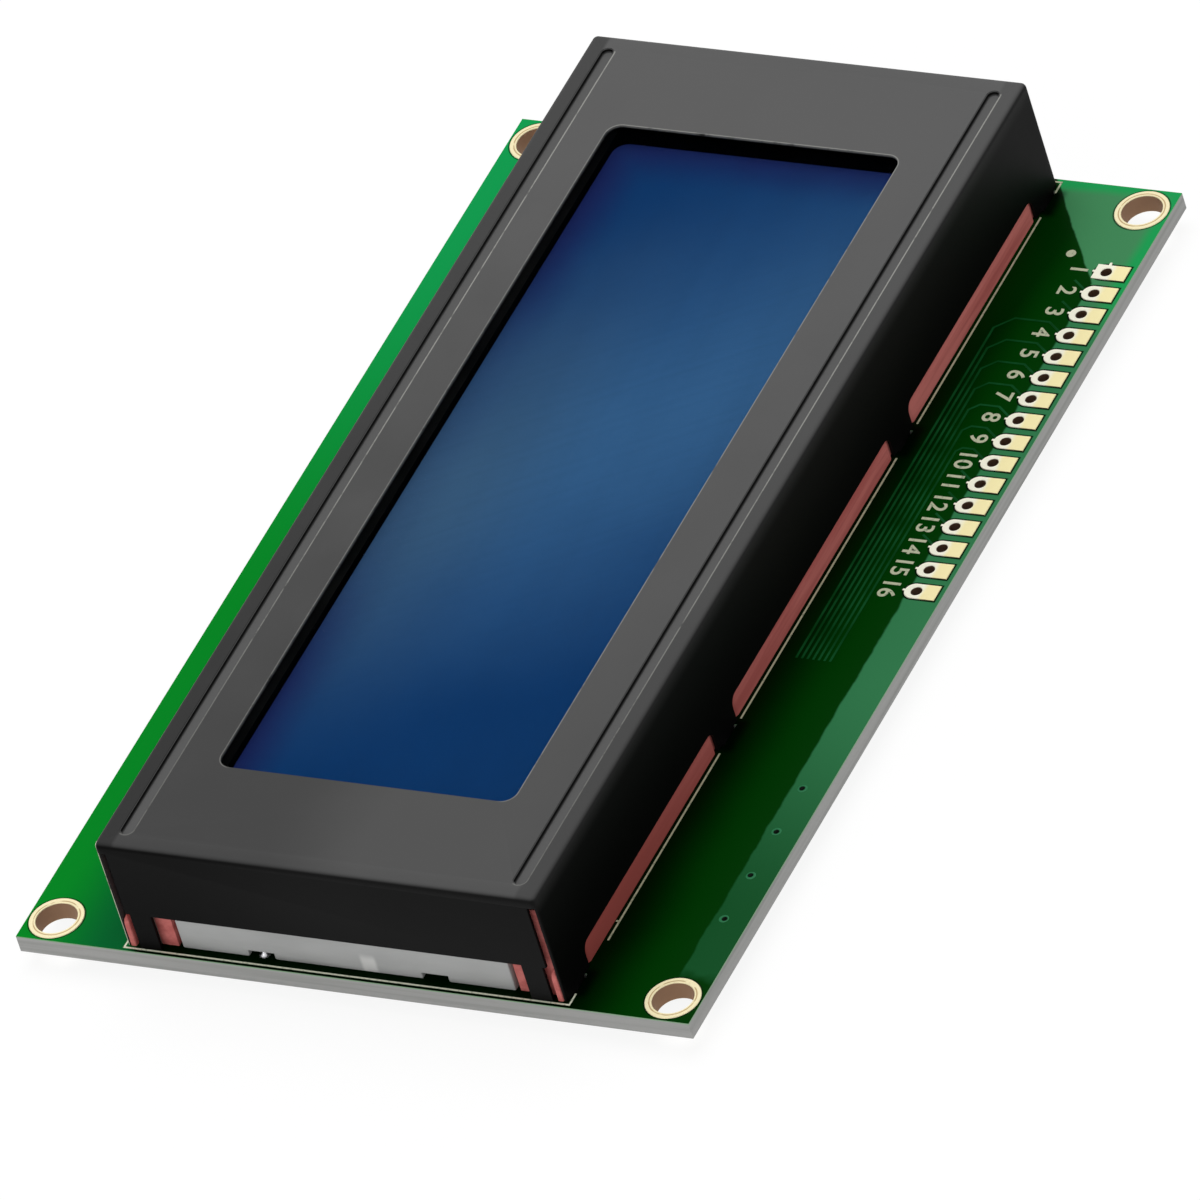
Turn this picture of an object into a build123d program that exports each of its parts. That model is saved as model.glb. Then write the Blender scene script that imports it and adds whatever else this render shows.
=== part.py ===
from build123d import *
import os

# Character LCD module, four rows of twenty characters, in millimetres.
# X runs along the board, Y across it towards the header row, Z out of the display face.
# The origin is under the middle of the board, at the tips of the twisted tabs.

# Circuit board
board_length = 98.0
board_width = 60.0
board_thickness = 1.6
plating = 0.05

# Mounting holes
mount_hole_inset = 2.5
mount_hole_radius = 1.75
mount_land_radius = 2.3

# Header row
pin_count = 16
pin_pitch = 2.54
pin_hole_radius = 0.5
first_pin_inset = 10.0
pin_row_inset = 2.4
pad_width = 1.7
pad_inner_reach = 1.05
pad_edge_margin = 0.5

# Folded steel frame
sheet = 0.3
bezel_end_margin = 0.5
bezel_width = 39.3
bezel_height = 11.0
bezel_centre_y = -0.55
bend_radius = 0.5
corner_slit_width = 0.6
corner_slit_top_gap = 1.0
side_wall_end_trim = 0.15

# Display window
window_end_margin = 10.2
window_side_margin = 6.45
window_shift_y = -0.2
window_corner_radius = 1.2

# Pressed ribs that bear on the glass
rib_end_margin = 1.5
rib_edge_inset = 2.15
rib_mouth = 1.2
rib_press = 0.4
rib_wall = 0.25
rib_taper = 25.0

# Legs under the long walls
long_opening_height = 2.2
long_opening_radius = 0.9
corner_leg_width = 4.3
middle_leg_width = 3.6
middle_leg_offset = 17.4

# Legs under the end walls
end_opening_height = 3.6
end_leg_width = 1.9
end_leg_inset = 2.2

# Tabs through the board, twisted below it
tab_width = 2.2
tab_drop = 1.5
tab_clearance = 0.2
tab_twist = 35.0

# Liquid crystal cell
glass_thickness = 1.1
cell_gap = 0.05
polariser_thickness = 0.2
front_glass_clearance = 0.2
rear_glass_end_step = 0.6
rear_glass_zebra_clearance = 0.2
seal_width = 1.35
front_polariser_rib_gap = 1.0
front_polariser_end_step = 2.0
rear_polariser_step = 0.5
port_plug_width = 3.0
port_plug_thickness = 0.4

# Zebra strips
zebra_width = 4.0
zebra_core_width = 1.0
zebra_wall_gap = 0.1
zebra_end_gap = 0.4

# Contact fingers under the zebra strips
contact_pitch = 3.8
contact_width = 2.2
contact_length = 2.6
contact_end_margin = 2.0

# Backlight
case_zebra_gap = 0.4
case_end_gap = 0.3
case_wall = 1.2
case_floor = 1.0
reflector_thickness = 0.2
diffuser_thickness = 0.35
inner_fit = 0.1
led_board_thickness = 0.8
led_board_floor_gap = 0.3
led_board_top_gap = 0.8
led_count = 5
led_pitch = 5.0
led_width = 3.0
led_depth = 1.0
led_height = 2.0
led_guide_gap = 0.2

# Backlight leads, soldered to the board's upper face in notches under the tray
lead_size = 0.5
lead_pitch = 15.5
lead_slot_clearance = 0.1
lead_notch_width = 2.3
lead_notch_height = 0.6
lead_notch_depth = 3.4
solder_radius = 0.95
solder_tip_radius = 0.45
solder_height = 0.5

# Chips under black resin on the back
blob_height = 1.2
blob_crown_share = 0.75
controller_blob_radius = 6.5
driver_blob_radius = 5.5
blob_pitch = 26.0
blob_row_y = -6.0

# Surface mounted resistors and capacitors on the back
chip_length = 2.0
chip_width = 1.25
chip_end = 0.4
resistor_height = 0.5
capacitor_height = 0.9
resistor_count = 6
resistor_pitch = 3.4
resistor_row_y = 11.0
resistor_row_x = -8.0
capacitor_pitch = 5.0
capacitor_count = 2
capacitor_row_x = 18.0
led_resistor_x = 36.0

# Levels, from the tab tips up
board_bottom = tab_drop
board_top = board_bottom + board_thickness
bezel_top = board_top + bezel_height
sheet_underside = bezel_top - sheet
glass_top = sheet_underside - rib_press
front_glass_bottom = glass_top - glass_thickness
rear_glass_top = front_glass_bottom - cell_gap
rear_glass_bottom = rear_glass_top - glass_thickness
case_top = rear_glass_bottom - polariser_thickness
case_pocket_floor = board_top + case_floor
guide_bottom = case_pocket_floor + reflector_thickness
guide_top = case_top - diffuser_thickness
zebra_bottom = board_top + plating
led_board_bottom = case_pocket_floor + led_board_floor_gap
led_board_top = guide_top - led_board_top_gap
lamp_level = (led_board_bottom + led_board_top) / 2

# Frame sizes worked out from the board and from the frame's width
bezel_length = board_length - 2 * bezel_end_margin
window_length = bezel_length - 2 * window_end_margin
window_width = bezel_width - 2 * window_side_margin
rib_length = bezel_length - 2 * rib_end_margin
rib_offset_y = bezel_width / 2 - rib_edge_inset
end_leg_offset = bezel_width / 2 - end_leg_inset

# Plan sizes worked out from the frame inwards
inner_half_length = bezel_length / 2 - sheet
inner_half_width = bezel_width / 2 - sheet
zebra_centre = inner_half_width - zebra_wall_gap - zebra_width / 2
zebra_inner_face = zebra_centre - zebra_width / 2
zebra_length = 2 * (inner_half_length - zebra_end_gap)
front_glass_length = 2 * (inner_half_length - front_glass_clearance)
front_glass_width = 2 * (inner_half_width - front_glass_clearance)
rear_glass_length = front_glass_length - 2 * rear_glass_end_step
rear_glass_width = 2 * (zebra_inner_face - rear_glass_zebra_clearance)
case_length = 2 * (inner_half_length - case_end_gap)
case_width = 2 * (zebra_inner_face - case_zebra_gap)
pocket_length = case_length - 2 * case_wall
pocket_width = case_width - 2 * case_wall
led_board_face = pocket_length / 2 - led_board_thickness
guide_end = led_board_face - led_depth - led_guide_gap
lead_x = led_board_face - lead_size / 2
lead_places = [(lead_x, bezel_centre_y + side * lead_pitch / 2) for side in (-1, 1)]
corner_leg_centre = bezel_length / 2 - corner_leg_width / 2
side_wall_middle = bezel_width / 2 - sheet / 2
tab_places = [
    (x, bezel_centre_y + side * side_wall_middle)
    for x in (-corner_leg_centre, -middle_leg_offset, middle_leg_offset, corner_leg_centre)
    for side in (-1, 1)
]
mount_places = [
    (x * (board_length / 2 - mount_hole_inset), y * (board_width / 2 - mount_hole_inset))
    for x in (-1, 1)
    for y in (-1, 1)
]
pin_row_y = board_width / 2 - pin_row_inset
pin_places = [
    (first_pin_inset - board_length / 2 + number * pin_pitch, pin_row_y)
    for number in range(pin_count)
]


def slab(length, width, low, high, x=0.0, y=0.0):
    """A flat block between two levels."""
    return Pos(x, y, low) * extrude(Rectangle(length, width), high - low)


def drum(radius, low, high, x=0.0, y=0.0):
    """An upright cylinder between two levels."""
    return Pos(x, y, low) * extrude(Circle(radius), high - low)


def together(solids):
    """Separate solids kept as one group."""
    return Compound([solid for part in solids for solid in part.solids()])


def tab_slot(x, y):
    """The slot that a tab passes through."""
    length = tab_width + 2 * tab_clearance
    width = sheet + 2 * tab_clearance
    return slab(length, width, board_bottom, board_top, x, y)


def circuit_board():
    """The laminate, with its mounting holes, header holes and tab slots."""
    board = slab(board_length, board_width, board_bottom, board_top)
    cutters = [tab_slot(*place) for place in tab_places]
    for radius, places in (
        (mount_hole_radius, mount_places),
        (pin_hole_radius, pin_places),
    ):
        cutters += [drum(radius, board_bottom, board_top, *place) for place in places]
    return board - cutters


def land(outline, radius, x, y):
    """A thin plated land round a hole, on the board's upper face."""
    return Pos(x, y, board_top) * extrude(outline - Circle(radius), plating)


def mounting_lands():
    """The plated rings of the four mounting holes."""
    ring = Circle(mount_land_radius)
    return together(land(ring, mount_hole_radius, *place) for place in mount_places)


def pad_outline(square):
    """The long pad round a header hole: straight towards the board's edge, round or square inside."""
    outer_reach = pin_row_inset - pad_edge_margin
    end_radius = 0.0 if square else pad_width / 2
    straight = outer_reach + pad_inner_reach - end_radius
    bar = Pos(0, outer_reach - straight / 2) * Rectangle(pad_width, straight)
    if square:
        return bar
    return bar + Pos(0, end_radius - pad_inner_reach) * Circle(end_radius)


def header_pads():
    """The pads of the header holes; the first is square."""
    pads = []
    for number, place in enumerate(pin_places):
        pads.append(land(pad_outline(number == 0), pin_hole_radius, *place))
    return together(pads)


def folded_blank():
    """The frame as folded: a flat top and four walls, open below, with round outer bends."""
    outer = slab(bezel_length, bezel_width, board_top, bezel_top)
    bends = outer.edges().filter_by(Axis.Z) + outer.faces().sort_by(Axis.Z)[-1].edges()
    inner = slab(2 * inner_half_length, 2 * inner_half_width, board_top, sheet_underside)
    return fillet(bends, bend_radius) - inner


def long_opening_cutter(length):
    """A cutter for a gap under both long walls; its upper corners, seen through a wall, are round."""
    cutter = slab(length, 2 * bezel_width, board_top, board_top + long_opening_height)
    upper = cutter.edges().filter_by(Axis.Y).group_by(Axis.Z)[-1]
    return fillet(upper, long_opening_radius)


def long_wall_cutters():
    """The gaps between the legs of both long walls."""
    stops = [-bezel_length / 2 + corner_leg_width]
    for leg in (-middle_leg_offset, middle_leg_offset):
        stops += [leg - middle_leg_width / 2, leg + middle_leg_width / 2]
    stops.append(bezel_length / 2 - corner_leg_width)
    cutters = []
    for start, end in zip(stops[::2], stops[1::2]):
        cutters.append(Pos((start + end) / 2, 0, 0) * long_opening_cutter(end - start))
    return cutters


def end_wall_cutters():
    """The gaps beside and between the legs of both end walls."""
    between = 2 * end_leg_offset - end_leg_width
    beside = inner_half_width - corner_slit_width / 2 - end_leg_offset - end_leg_width / 2
    cutters = [slab(2 * bezel_length, between, board_top, board_top + end_opening_height)]
    for side in (-1, 1):
        gap = slab(2 * bezel_length, beside, board_top, board_top + end_opening_height)
        cutters.append(Pos(0, side * (end_leg_offset + end_leg_width / 2 + beside / 2), 0) * gap)
    return cutters


def corner_cutters():
    """The open slits where an end wall meets a long wall, and the trim of the long walls' ends."""
    slit_top = bezel_top - corner_slit_top_gap
    cutters = []
    for side in (-1, 1):
        slit_y = side * (inner_half_width - corner_slit_width / 2)
        cutters.append(slab(2 * bezel_length, corner_slit_width, board_top, slit_top, y=slit_y))
        for end in (-1, 1):
            trim_x = end * bezel_length / 2
            trim_y = side * side_wall_middle
            trim = slab(2 * side_wall_end_trim, 2 * sheet, board_top, slit_top, trim_x, trim_y)
            cutters.append(trim)
    return cutters


def pressed_rib(y):
    """One rib: the metal that stands below the top, and the groove pressed into it."""
    ridge_outline = Rectangle(rib_length + 2 * rib_wall, rib_mouth + 2 * rib_wall)
    groove_outline = SlotOverall(rib_length, rib_mouth)
    ridge = extrude(ridge_outline, rib_press, dir=(0, 0, -1))
    groove = extrude(groove_outline, rib_press, dir=(0, 0, -1), taper=rib_taper)
    return Pos(0, y, sheet_underside) * ridge, Pos(0, y, bezel_top) * groove


def twisted_tab(x, y):
    """A tab that passes straight through the board and is twisted below it to hold the frame."""
    straight = slab(tab_width, sheet, board_bottom, board_top, x, y)
    twisted = slab(tab_width, sheet, 0, board_bottom)
    return straight + Pos(x, y, 0) * Rot(0, 0, tab_twist) * twisted


def bezel():
    """The black frame: window, ribs, slit corners, legs and the tabs that fix it to the board."""
    frame = folded_blank()
    for side in (-1, 1):
        ridge, groove = pressed_rib(side * rib_offset_y)
        frame = frame + ridge - groove
    window_outline = RectangleRounded(window_length, window_width, window_corner_radius)
    window = Pos(0, window_shift_y, sheet_underside) * extrude(window_outline, sheet)
    frame = frame - [window] - corner_cutters() - long_wall_cutters() - end_wall_cutters()
    frame = Pos(0, bezel_centre_y, 0) * frame
    for place in tab_places:
        frame += twisted_tab(*place)
    return frame


def front_glass():
    """The upper glass; its long edges overhang the lower one and carry the contacts."""
    return slab(front_glass_length, front_glass_width, front_glass_bottom, glass_top, y=bezel_centre_y)


def rear_glass():
    """The lower glass."""
    return slab(rear_glass_length, rear_glass_width, rear_glass_bottom, rear_glass_top, y=bezel_centre_y)


def front_polariser():
    """The polarising film on the upper glass, between the ribs."""
    length = front_glass_length - 2 * front_polariser_end_step
    width = 2 * (rib_offset_y - rib_mouth / 2 - rib_wall - front_polariser_rib_gap)
    return slab(length, width, glass_top, glass_top + polariser_thickness, y=bezel_centre_y)


def rear_polariser():
    """The polarising film under the lower glass."""
    length = rear_glass_length - 2 * rear_polariser_step
    width = rear_glass_width - 2 * rear_polariser_step
    return slab(length, width, case_top, rear_glass_bottom, y=bezel_centre_y)


def cell_fill():
    """The liquid crystal between the glasses."""
    length = rear_glass_length - 2 * seal_width
    width = rear_glass_width - 2 * seal_width
    return slab(length, width, rear_glass_top, front_glass_bottom, y=bezel_centre_y)


def cell_seal():
    """The glue line round the liquid crystal."""
    low, high = rear_glass_top, front_glass_bottom
    outline = slab(rear_glass_length, rear_glass_width, low, high, y=bezel_centre_y)
    return outline - cell_fill()


def port_plug():
    """The bead that closes the cell's filling port, on the end of the lower glass."""
    x = -rear_glass_length / 2 - port_plug_thickness / 2
    low, high = rear_glass_bottom, front_glass_bottom
    return slab(port_plug_thickness, port_plug_width, low, high, x, bezel_centre_y)


def zebra_core(side):
    """The thin conducting slice of a zebra strip."""
    y = bezel_centre_y + side * zebra_centre
    return slab(zebra_length, zebra_core_width, zebra_bottom, front_glass_bottom, y=y)


def zebra_walls(side):
    """The two soft silicone walls of a zebra strip."""
    wall = (zebra_width - zebra_core_width) / 2
    offset = (zebra_core_width + wall) / 2
    y = bezel_centre_y + side * zebra_centre
    return together(
        slab(zebra_length, wall, zebra_bottom, front_glass_bottom, y=y + half * offset) for half in (-1, 1)
    )


def contact_fingers():
    """The gold contacts on the board under both zebra strips."""
    count = int((zebra_length - 2 * contact_end_margin) / contact_pitch) + 1
    fingers = []
    for side in (-1, 1):
        y = bezel_centre_y + side * zebra_centre
        for number in range(count):
            x = (number - (count - 1) / 2) * contact_pitch
            fingers.append(slab(contact_width, contact_length, board_top, zebra_bottom, x, y))
    return together(fingers)


def backlight_case():
    """The white tray of the backlight, with notches and slots for its two leads."""
    case = slab(case_length, case_width, board_top, case_top, y=bezel_centre_y)
    pocket = slab(pocket_length, pocket_width, case_pocket_floor, case_top, y=bezel_centre_y)
    slot_size = lead_size + 2 * lead_slot_clearance
    cutters = [pocket]
    for x, y in lead_places:
        notch_x = case_length / 2 - lead_notch_depth / 2
        notch_top = board_top + lead_notch_height
        cutters.append(slab(lead_notch_depth, lead_notch_width, board_top, notch_top, notch_x, y))
        cutters.append(slab(slot_size, slot_size, board_top, case_pocket_floor, x, y))
    return case - cutters


def guide_slab(low, high):
    """A sheet as long and as wide as the light guide."""
    start = -pocket_length / 2 + inner_fit
    length = guide_end - start
    return slab(length, pocket_width - 2 * inner_fit, low, high, (start + guide_end) / 2, bezel_centre_y)


def diffuser_film():
    """The diffuser that closes the tray, level with its rim."""
    length = pocket_length - 2 * inner_fit
    width = pocket_width - 2 * inner_fit
    return slab(length, width, guide_top, case_top, y=bezel_centre_y)


def led_board():
    """The narrow board that stands at the end of the tray and carries the lamps."""
    x = led_board_face + led_board_thickness / 2
    width = pocket_width - 2 * inner_fit
    return slab(led_board_thickness, width, led_board_bottom, led_board_top, x, bezel_centre_y)


def backlight_leds():
    """The lamps that shine into the end of the light guide."""
    low, high = lamp_level - led_height / 2, lamp_level + led_height / 2
    x = led_board_face - led_depth / 2
    lamps = []
    for number in range(led_count):
        y = bezel_centre_y + (number - (led_count - 1) / 2) * led_pitch
        lamps.append(slab(led_depth, led_width, low, high, x, y))
    return together(lamps)


def lead_pin(x, y):
    """A square lead from the lamp board down to the circuit board."""
    return slab(lead_size, lead_size, board_top, lamp_level, x, y)


def backlight_leads():
    """The two leads of the backlight."""
    return together(lead_pin(*place) for place in lead_places)


def solder_joint(x, y):
    """Solder round the foot of a lead."""
    cone = Cone(solder_radius, solder_tip_radius, solder_height)
    return Pos(x, y, board_top + solder_height / 2) * cone - lead_pin(x, y)


def lead_solder():
    """The solder joints of the two leads."""
    return together(solder_joint(*place) for place in lead_places)


def resin_blob(radius, x, y):
    """A low dome of black resin over a bonded chip, on the back of the board."""
    blob = Cone(blob_crown_share * radius, radius, blob_height)
    return Pos(x, y, board_bottom - blob_height / 2) * blob


def driver_blobs():
    """The resin domes over the two segment drivers."""
    return together(resin_blob(driver_blob_radius, side * blob_pitch, blob_row_y) for side in (-1, 1))


def chip_body(height, x, y):
    """The ceramic body of a surface mounted part, under the board."""
    return slab(chip_length - 2 * chip_end, chip_width, board_bottom - height, board_bottom, x, y)


def chip_ends(height, x, y):
    """The two metal ends of a surface mounted part."""
    offset = (chip_length - chip_end) / 2
    low = board_bottom - height
    return [slab(chip_end, chip_width, low, board_bottom, x + side * offset, y) for side in (-1, 1)]


def resistor_places():
    """A row of resistors, and one for the backlight."""
    start = resistor_row_x - (resistor_count - 1) / 2 * resistor_pitch
    row = [(start + number * resistor_pitch, resistor_row_y) for number in range(resistor_count)]
    return row + [(led_resistor_x, resistor_row_y)]


def capacitor_places():
    """The capacitors beside the row of resistors."""
    return [
        (capacitor_row_x + number * capacitor_pitch, resistor_row_y) for number in range(capacitor_count)
    ]


def chip_group(places, height):
    """The bodies and the metal ends of a group of surface mounted parts."""
    bodies = together(chip_body(height, *place) for place in places)
    ends = together(end for place in places for end in chip_ends(height, *place))
    return bodies, ends


resistor_bodies, resistor_ends = chip_group(resistor_places(), resistor_height)
capacitor_bodies, capacitor_ends = chip_group(capacitor_places(), capacitor_height)

nodes = {
    "circuit_board": circuit_board(),
    "mounting_hole_lands": mounting_lands(),
    "header_pads": header_pads(),
    "contact_fingers": contact_fingers(),
    "bezel": bezel(),
    "front_polariser": front_polariser(),
    "front_glass": front_glass(),
    "liquid_crystal": cell_fill(),
    "cell_seal": cell_seal(),
    "filling_port_plug": port_plug(),
    "rear_glass": rear_glass(),
    "rear_polariser": rear_polariser(),
    "zebra_core_header_side": zebra_core(1),
    "zebra_core_far_side": zebra_core(-1),
    "zebra_walls_header_side": zebra_walls(1),
    "zebra_walls_far_side": zebra_walls(-1),
    "backlight_case": backlight_case(),
    "diffuser_film": diffuser_film(),
    "light_guide": guide_slab(guide_bottom, guide_top),
    "reflector_film": guide_slab(case_pocket_floor, guide_bottom),
    "led_board": led_board(),
    "backlight_leds": backlight_leds(),
    "backlight_leads": backlight_leads(),
    "lead_solder": lead_solder(),
    "controller_blob": resin_blob(controller_blob_radius, 0, blob_row_y),
    "driver_blobs": driver_blobs(),
    "resistor_bodies": resistor_bodies,
    "resistor_ends": resistor_ends,
    "capacitor_bodies": capacitor_bodies,
    "capacitor_ends": capacitor_ends,
}

os.makedirs("parts", exist_ok=True)
for name, shape in nodes.items():
    export_step(shape, f"parts/{name}.step")
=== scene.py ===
import logging
import math
from contextlib import contextmanager
from dataclasses import dataclass, field
from enum import Enum
from itertools import product
from typing import Any, Callable, Iterable, Iterator, Sequence

import bmesh
import bpy
import numpy as np
from mathutils import Matrix, Vector


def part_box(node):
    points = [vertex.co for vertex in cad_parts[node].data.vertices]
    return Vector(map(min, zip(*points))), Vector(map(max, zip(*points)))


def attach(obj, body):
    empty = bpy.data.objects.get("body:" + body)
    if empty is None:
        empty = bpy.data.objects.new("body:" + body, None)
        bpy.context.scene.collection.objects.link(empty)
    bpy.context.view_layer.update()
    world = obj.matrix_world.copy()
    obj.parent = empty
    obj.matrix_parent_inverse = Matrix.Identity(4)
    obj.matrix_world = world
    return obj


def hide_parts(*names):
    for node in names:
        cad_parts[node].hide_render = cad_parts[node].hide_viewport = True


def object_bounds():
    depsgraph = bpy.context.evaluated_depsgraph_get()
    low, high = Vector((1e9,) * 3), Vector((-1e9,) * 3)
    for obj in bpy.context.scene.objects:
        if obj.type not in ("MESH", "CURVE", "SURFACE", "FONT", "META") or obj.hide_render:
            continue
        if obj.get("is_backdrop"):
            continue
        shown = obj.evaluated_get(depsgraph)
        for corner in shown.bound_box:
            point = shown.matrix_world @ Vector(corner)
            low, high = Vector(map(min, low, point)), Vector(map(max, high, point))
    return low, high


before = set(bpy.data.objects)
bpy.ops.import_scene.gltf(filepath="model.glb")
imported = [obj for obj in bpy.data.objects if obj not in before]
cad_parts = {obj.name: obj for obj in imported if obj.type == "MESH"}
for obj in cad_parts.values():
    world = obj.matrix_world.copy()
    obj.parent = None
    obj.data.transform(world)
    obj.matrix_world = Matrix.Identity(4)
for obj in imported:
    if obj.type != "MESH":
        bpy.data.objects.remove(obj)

# Looks of a character display module. Lengths are in millimetres until they reach a mesh.
# X runs along the board, Y across it towards the header row, Z out of the display face.

LOG = logging.getLogger("display_module")
MM = 0.001
BODY = "root"
SHARP_TURN = math.radians(35.0)
EASED_TURN = math.radians(40.0)
FLAT_TURN = math.radians(1.0)
SAME_POINT = 0.002 * MM
WELDED_POINT = 0.0005 * MM

Material = bpy.types.Material
Colour = tuple[float, float, float]
Point = tuple[float, float]
WHITE: Colour = (1.0, 1.0, 1.0)


def srgb(red: int, green: int, blue: int) -> Colour:
    """A colour in linear light.

    Args:
        red, green, blue: the colour as a screen shows it, 0 to 255.

    Returns:
        Each channel c as ((c + 0.055) / 1.055) to the power 2.4, or c / 12.92 where it is dark.
    """
    screen = np.array((red, green, blue)) / 255.0
    linear = np.where(screen <= 0.04045, screen / 12.92, ((screen + 0.055) / 1.055) ** 2.4)
    return tuple(float(channel) for channel in linear)


def extent(node: str) -> tuple[np.ndarray, np.ndarray]:
    """The lowest and the highest corner of a CAD node, in millimetres."""
    low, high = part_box(node)
    return np.array(low) / MM, np.array(high) / MM


# Shader sheets


def operator(operation: str, swapped: bool = False) -> Callable[["Signal", "Feed"], "Signal"]:
    """Makes the method behind one of Python's operators.

    Args:
        operation: Blender's name of what the Math node does.
        swapped: whether the other value stands first.

    Returns:
        A method that adds the node.
    """

    def method(self: "Signal", other: "Feed") -> "Signal":
        """One Math node on this value and another."""
        return self.sheet.math(operation, *((other, self) if swapped else (self, other)))

    return method


@dataclass(frozen=True)
class Signal:
    """An output of a shader node. Python's operators on it add Math nodes."""

    sheet: "ShaderSheet"
    socket: bpy.types.NodeSocket

    __add__ = __radd__ = operator("ADD")
    __mul__ = __rmul__ = operator("MULTIPLY")
    __sub__ = operator("SUBTRACT")
    __rsub__ = operator("SUBTRACT", swapped=True)
    __truediv__ = operator("DIVIDE")
    __mod__ = operator("FLOORED_MODULO")

    def __abs__(self) -> "Signal":
        """The value without its sign."""
        return self.sheet.math("ABSOLUTE", self)

    def output(self, name: str) -> "Signal":
        """Another output of the same node."""
        return Signal(self.sheet, self.socket.node.outputs[name])


Feed = Signal | float | tuple


class ShaderSheet:
    """The nodes of one material or world while it is put together."""

    def __init__(self, owner: Material | bpy.types.World) -> None:
        """Starts with no nodes.

        Args:
            owner: the material or world that the nodes belong to.
        """
        self.owner = owner
        owner.use_nodes = True
        self.tree = owner.node_tree
        self.tree.nodes.clear()

    def node(
        self,
        kind: str,
        values: dict[int | str, Feed] | None = None,
        settings: dict[str, Any] | None = None,
        output: int | str = 0,
    ) -> Signal | None:
        """Adds one node.

        Args:
            kind: Blender's name of the node's type, without "ShaderNode".
            values: numbers, colours or signals for its inputs, by name or place.
            settings: the node's properties, set first.
            output: the output that is returned.

        Returns:
            The chosen output, or None from a node that has none.
        """
        made = self.tree.nodes.new("ShaderNode" + kind)
        for name, value in (settings or {}).items():
            setattr(made, name, value)
        for key, value in (values or {}).items():
            self.feed(made.inputs[key], value)
        return Signal(self, made.outputs[output]) if len(made.outputs) else None

    def feed(self, socket: bpy.types.NodeSocket, value: Feed) -> None:
        """Links a signal to a socket, or sets a number or colour on it."""
        if isinstance(value, Signal):
            self.tree.links.new(value.socket, socket)
        elif socket.type == "RGBA":
            socket.default_value = (*value[:3], 1.0)
        else:
            socket.default_value = value

    def math(self, operation: str, *values: Feed) -> Signal:
        """One Math node."""
        return self.node("Math", dict(enumerate(values)), {"operation": operation})

    def larger(self, first: Feed, second: Feed) -> Signal:
        """The larger of two values."""
        return self.math("MAXIMUM", first, second)

    def smaller(self, first: Feed, second: Feed) -> Signal:
        """The smaller of two values."""
        return self.math("MINIMUM", first, second)

    def length(self, across: Signal, along: Signal) -> Signal:
        """The length of a flat vector."""
        return self.math("SQRT", across * across + along * along)

    def parts(self, vector: Signal) -> tuple[Signal, Signal, Signal]:
        """The three parts of a vector."""
        split = self.node("SeparateXYZ", {0: vector})
        return split, split.output("Y"), split.output("Z")

    def place(self) -> Signal:
        """The point on the object, in millimetres, as a vector."""
        source = self.node("TexCoord", output="Object")
        return self.node("VectorMath", {0: source, "Scale": 1 / MM}, {"operation": "SCALE"})

    def spot(self) -> tuple[Signal, Signal, Signal, Signal]:
        """The point on the object, in millimetres, as a vector and as its three parts."""
        place = self.place()
        return place, *self.parts(place)

    def facing(self) -> tuple[Signal, Signal, Signal]:
        """The three parts of the surface's own direction."""
        return self.parts(self.node("TexCoord", output="Normal"))

    def noise(self, place: Signal, size: float, detail: float = 2.0, roughness: float = 0.5) -> Signal:
        """Noise from 0 to 1 whose larger spots have the given size, in millimetres."""
        values = {"Vector": place, "Scale": 1 / size, "Detail": detail, "Roughness": roughness}
        return self.node("TexNoise", values)

    def stretched(self, place: Signal, x: float, y: float, z: float) -> Signal:
        """The point with each direction multiplied, to draw a pattern out."""
        return self.node("VectorMath", {0: place, 1: (x, y, z)}, {"operation": "MULTIPLY"})

    def rise(self, value: Signal, start: float, end: float) -> Signal:
        """A smooth step from 0 at start to 1 at end."""
        values = {"Value": value, "From Min": start, "From Max": end}
        return self.node("MapRange", values, {"interpolation_type": "SMOOTHSTEP"})

    def within(self, value: Signal, low: float, high: float, edge: float) -> Signal:
        """One between two values and zero outside, with soft edges."""
        return self.rise(value, low - edge, low + edge) * self.rise(value, high + edge, high - edge)

    def mix(self, share: Feed, first: Feed, second: Feed) -> Signal:
        """A colour between two, all second where share is one."""
        return self.node("Mix", {0: share, 6: first, 7: second}, {"data_type": "RGBA"}, 2)

    def blend(self, value: Signal, start: float, end: float, first: Feed, second: Feed) -> Signal:
        """A colour that goes from one to another while a value goes from start to end."""
        return self.mix(self.rise(value, start, end), first, second)

    def relief(self, height: Signal, depth: float) -> Signal:
        """The surface's direction bent by a pattern from 0 to 1 that stands out by millimetres."""
        return self.node("Bump", {"Height": height, "Distance": depth * MM, "Strength": 1.0})

    def seen(self) -> Signal:
        """One for rays from the camera and for rays that gloss or clear matter sends on, else zero."""
        path = self.node("LightPath", output="Is Camera Ray")
        glossy = self.larger(path, path.output("Is Glossy Ray"))
        return self.larger(glossy, path.output("Is Transmission Ray"))

    def paint(self, **sockets: Feed) -> Signal:
        """A principled surface, its inputs named with an underscore for each space."""
        values = {name.replace("_", " "): value for name, value in sockets.items()}
        return self.node("BsdfPrincipled", values)

    def finish(self, **sockets: Feed) -> Material:
        """Ends the sheet in one principled surface and returns the material."""
        self.node("OutputMaterial", {"Surface": self.paint(**sockets)})
        return self.owner


# Finishes


class Finish:
    """A surface finish. Its material is made once, when it is first asked for."""

    made: dict[str, Material] = {}

    def material(self) -> Material:
        """This finish's material."""
        name = type(self).__name__
        if name not in Finish.made:
            Finish.made[name] = self.build(ShaderSheet(bpy.data.materials.new(name)))
        return Finish.made[name]

    def build(self, sheet: ShaderSheet) -> Material:
        """Puts the material together."""
        raise NotImplementedError


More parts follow.
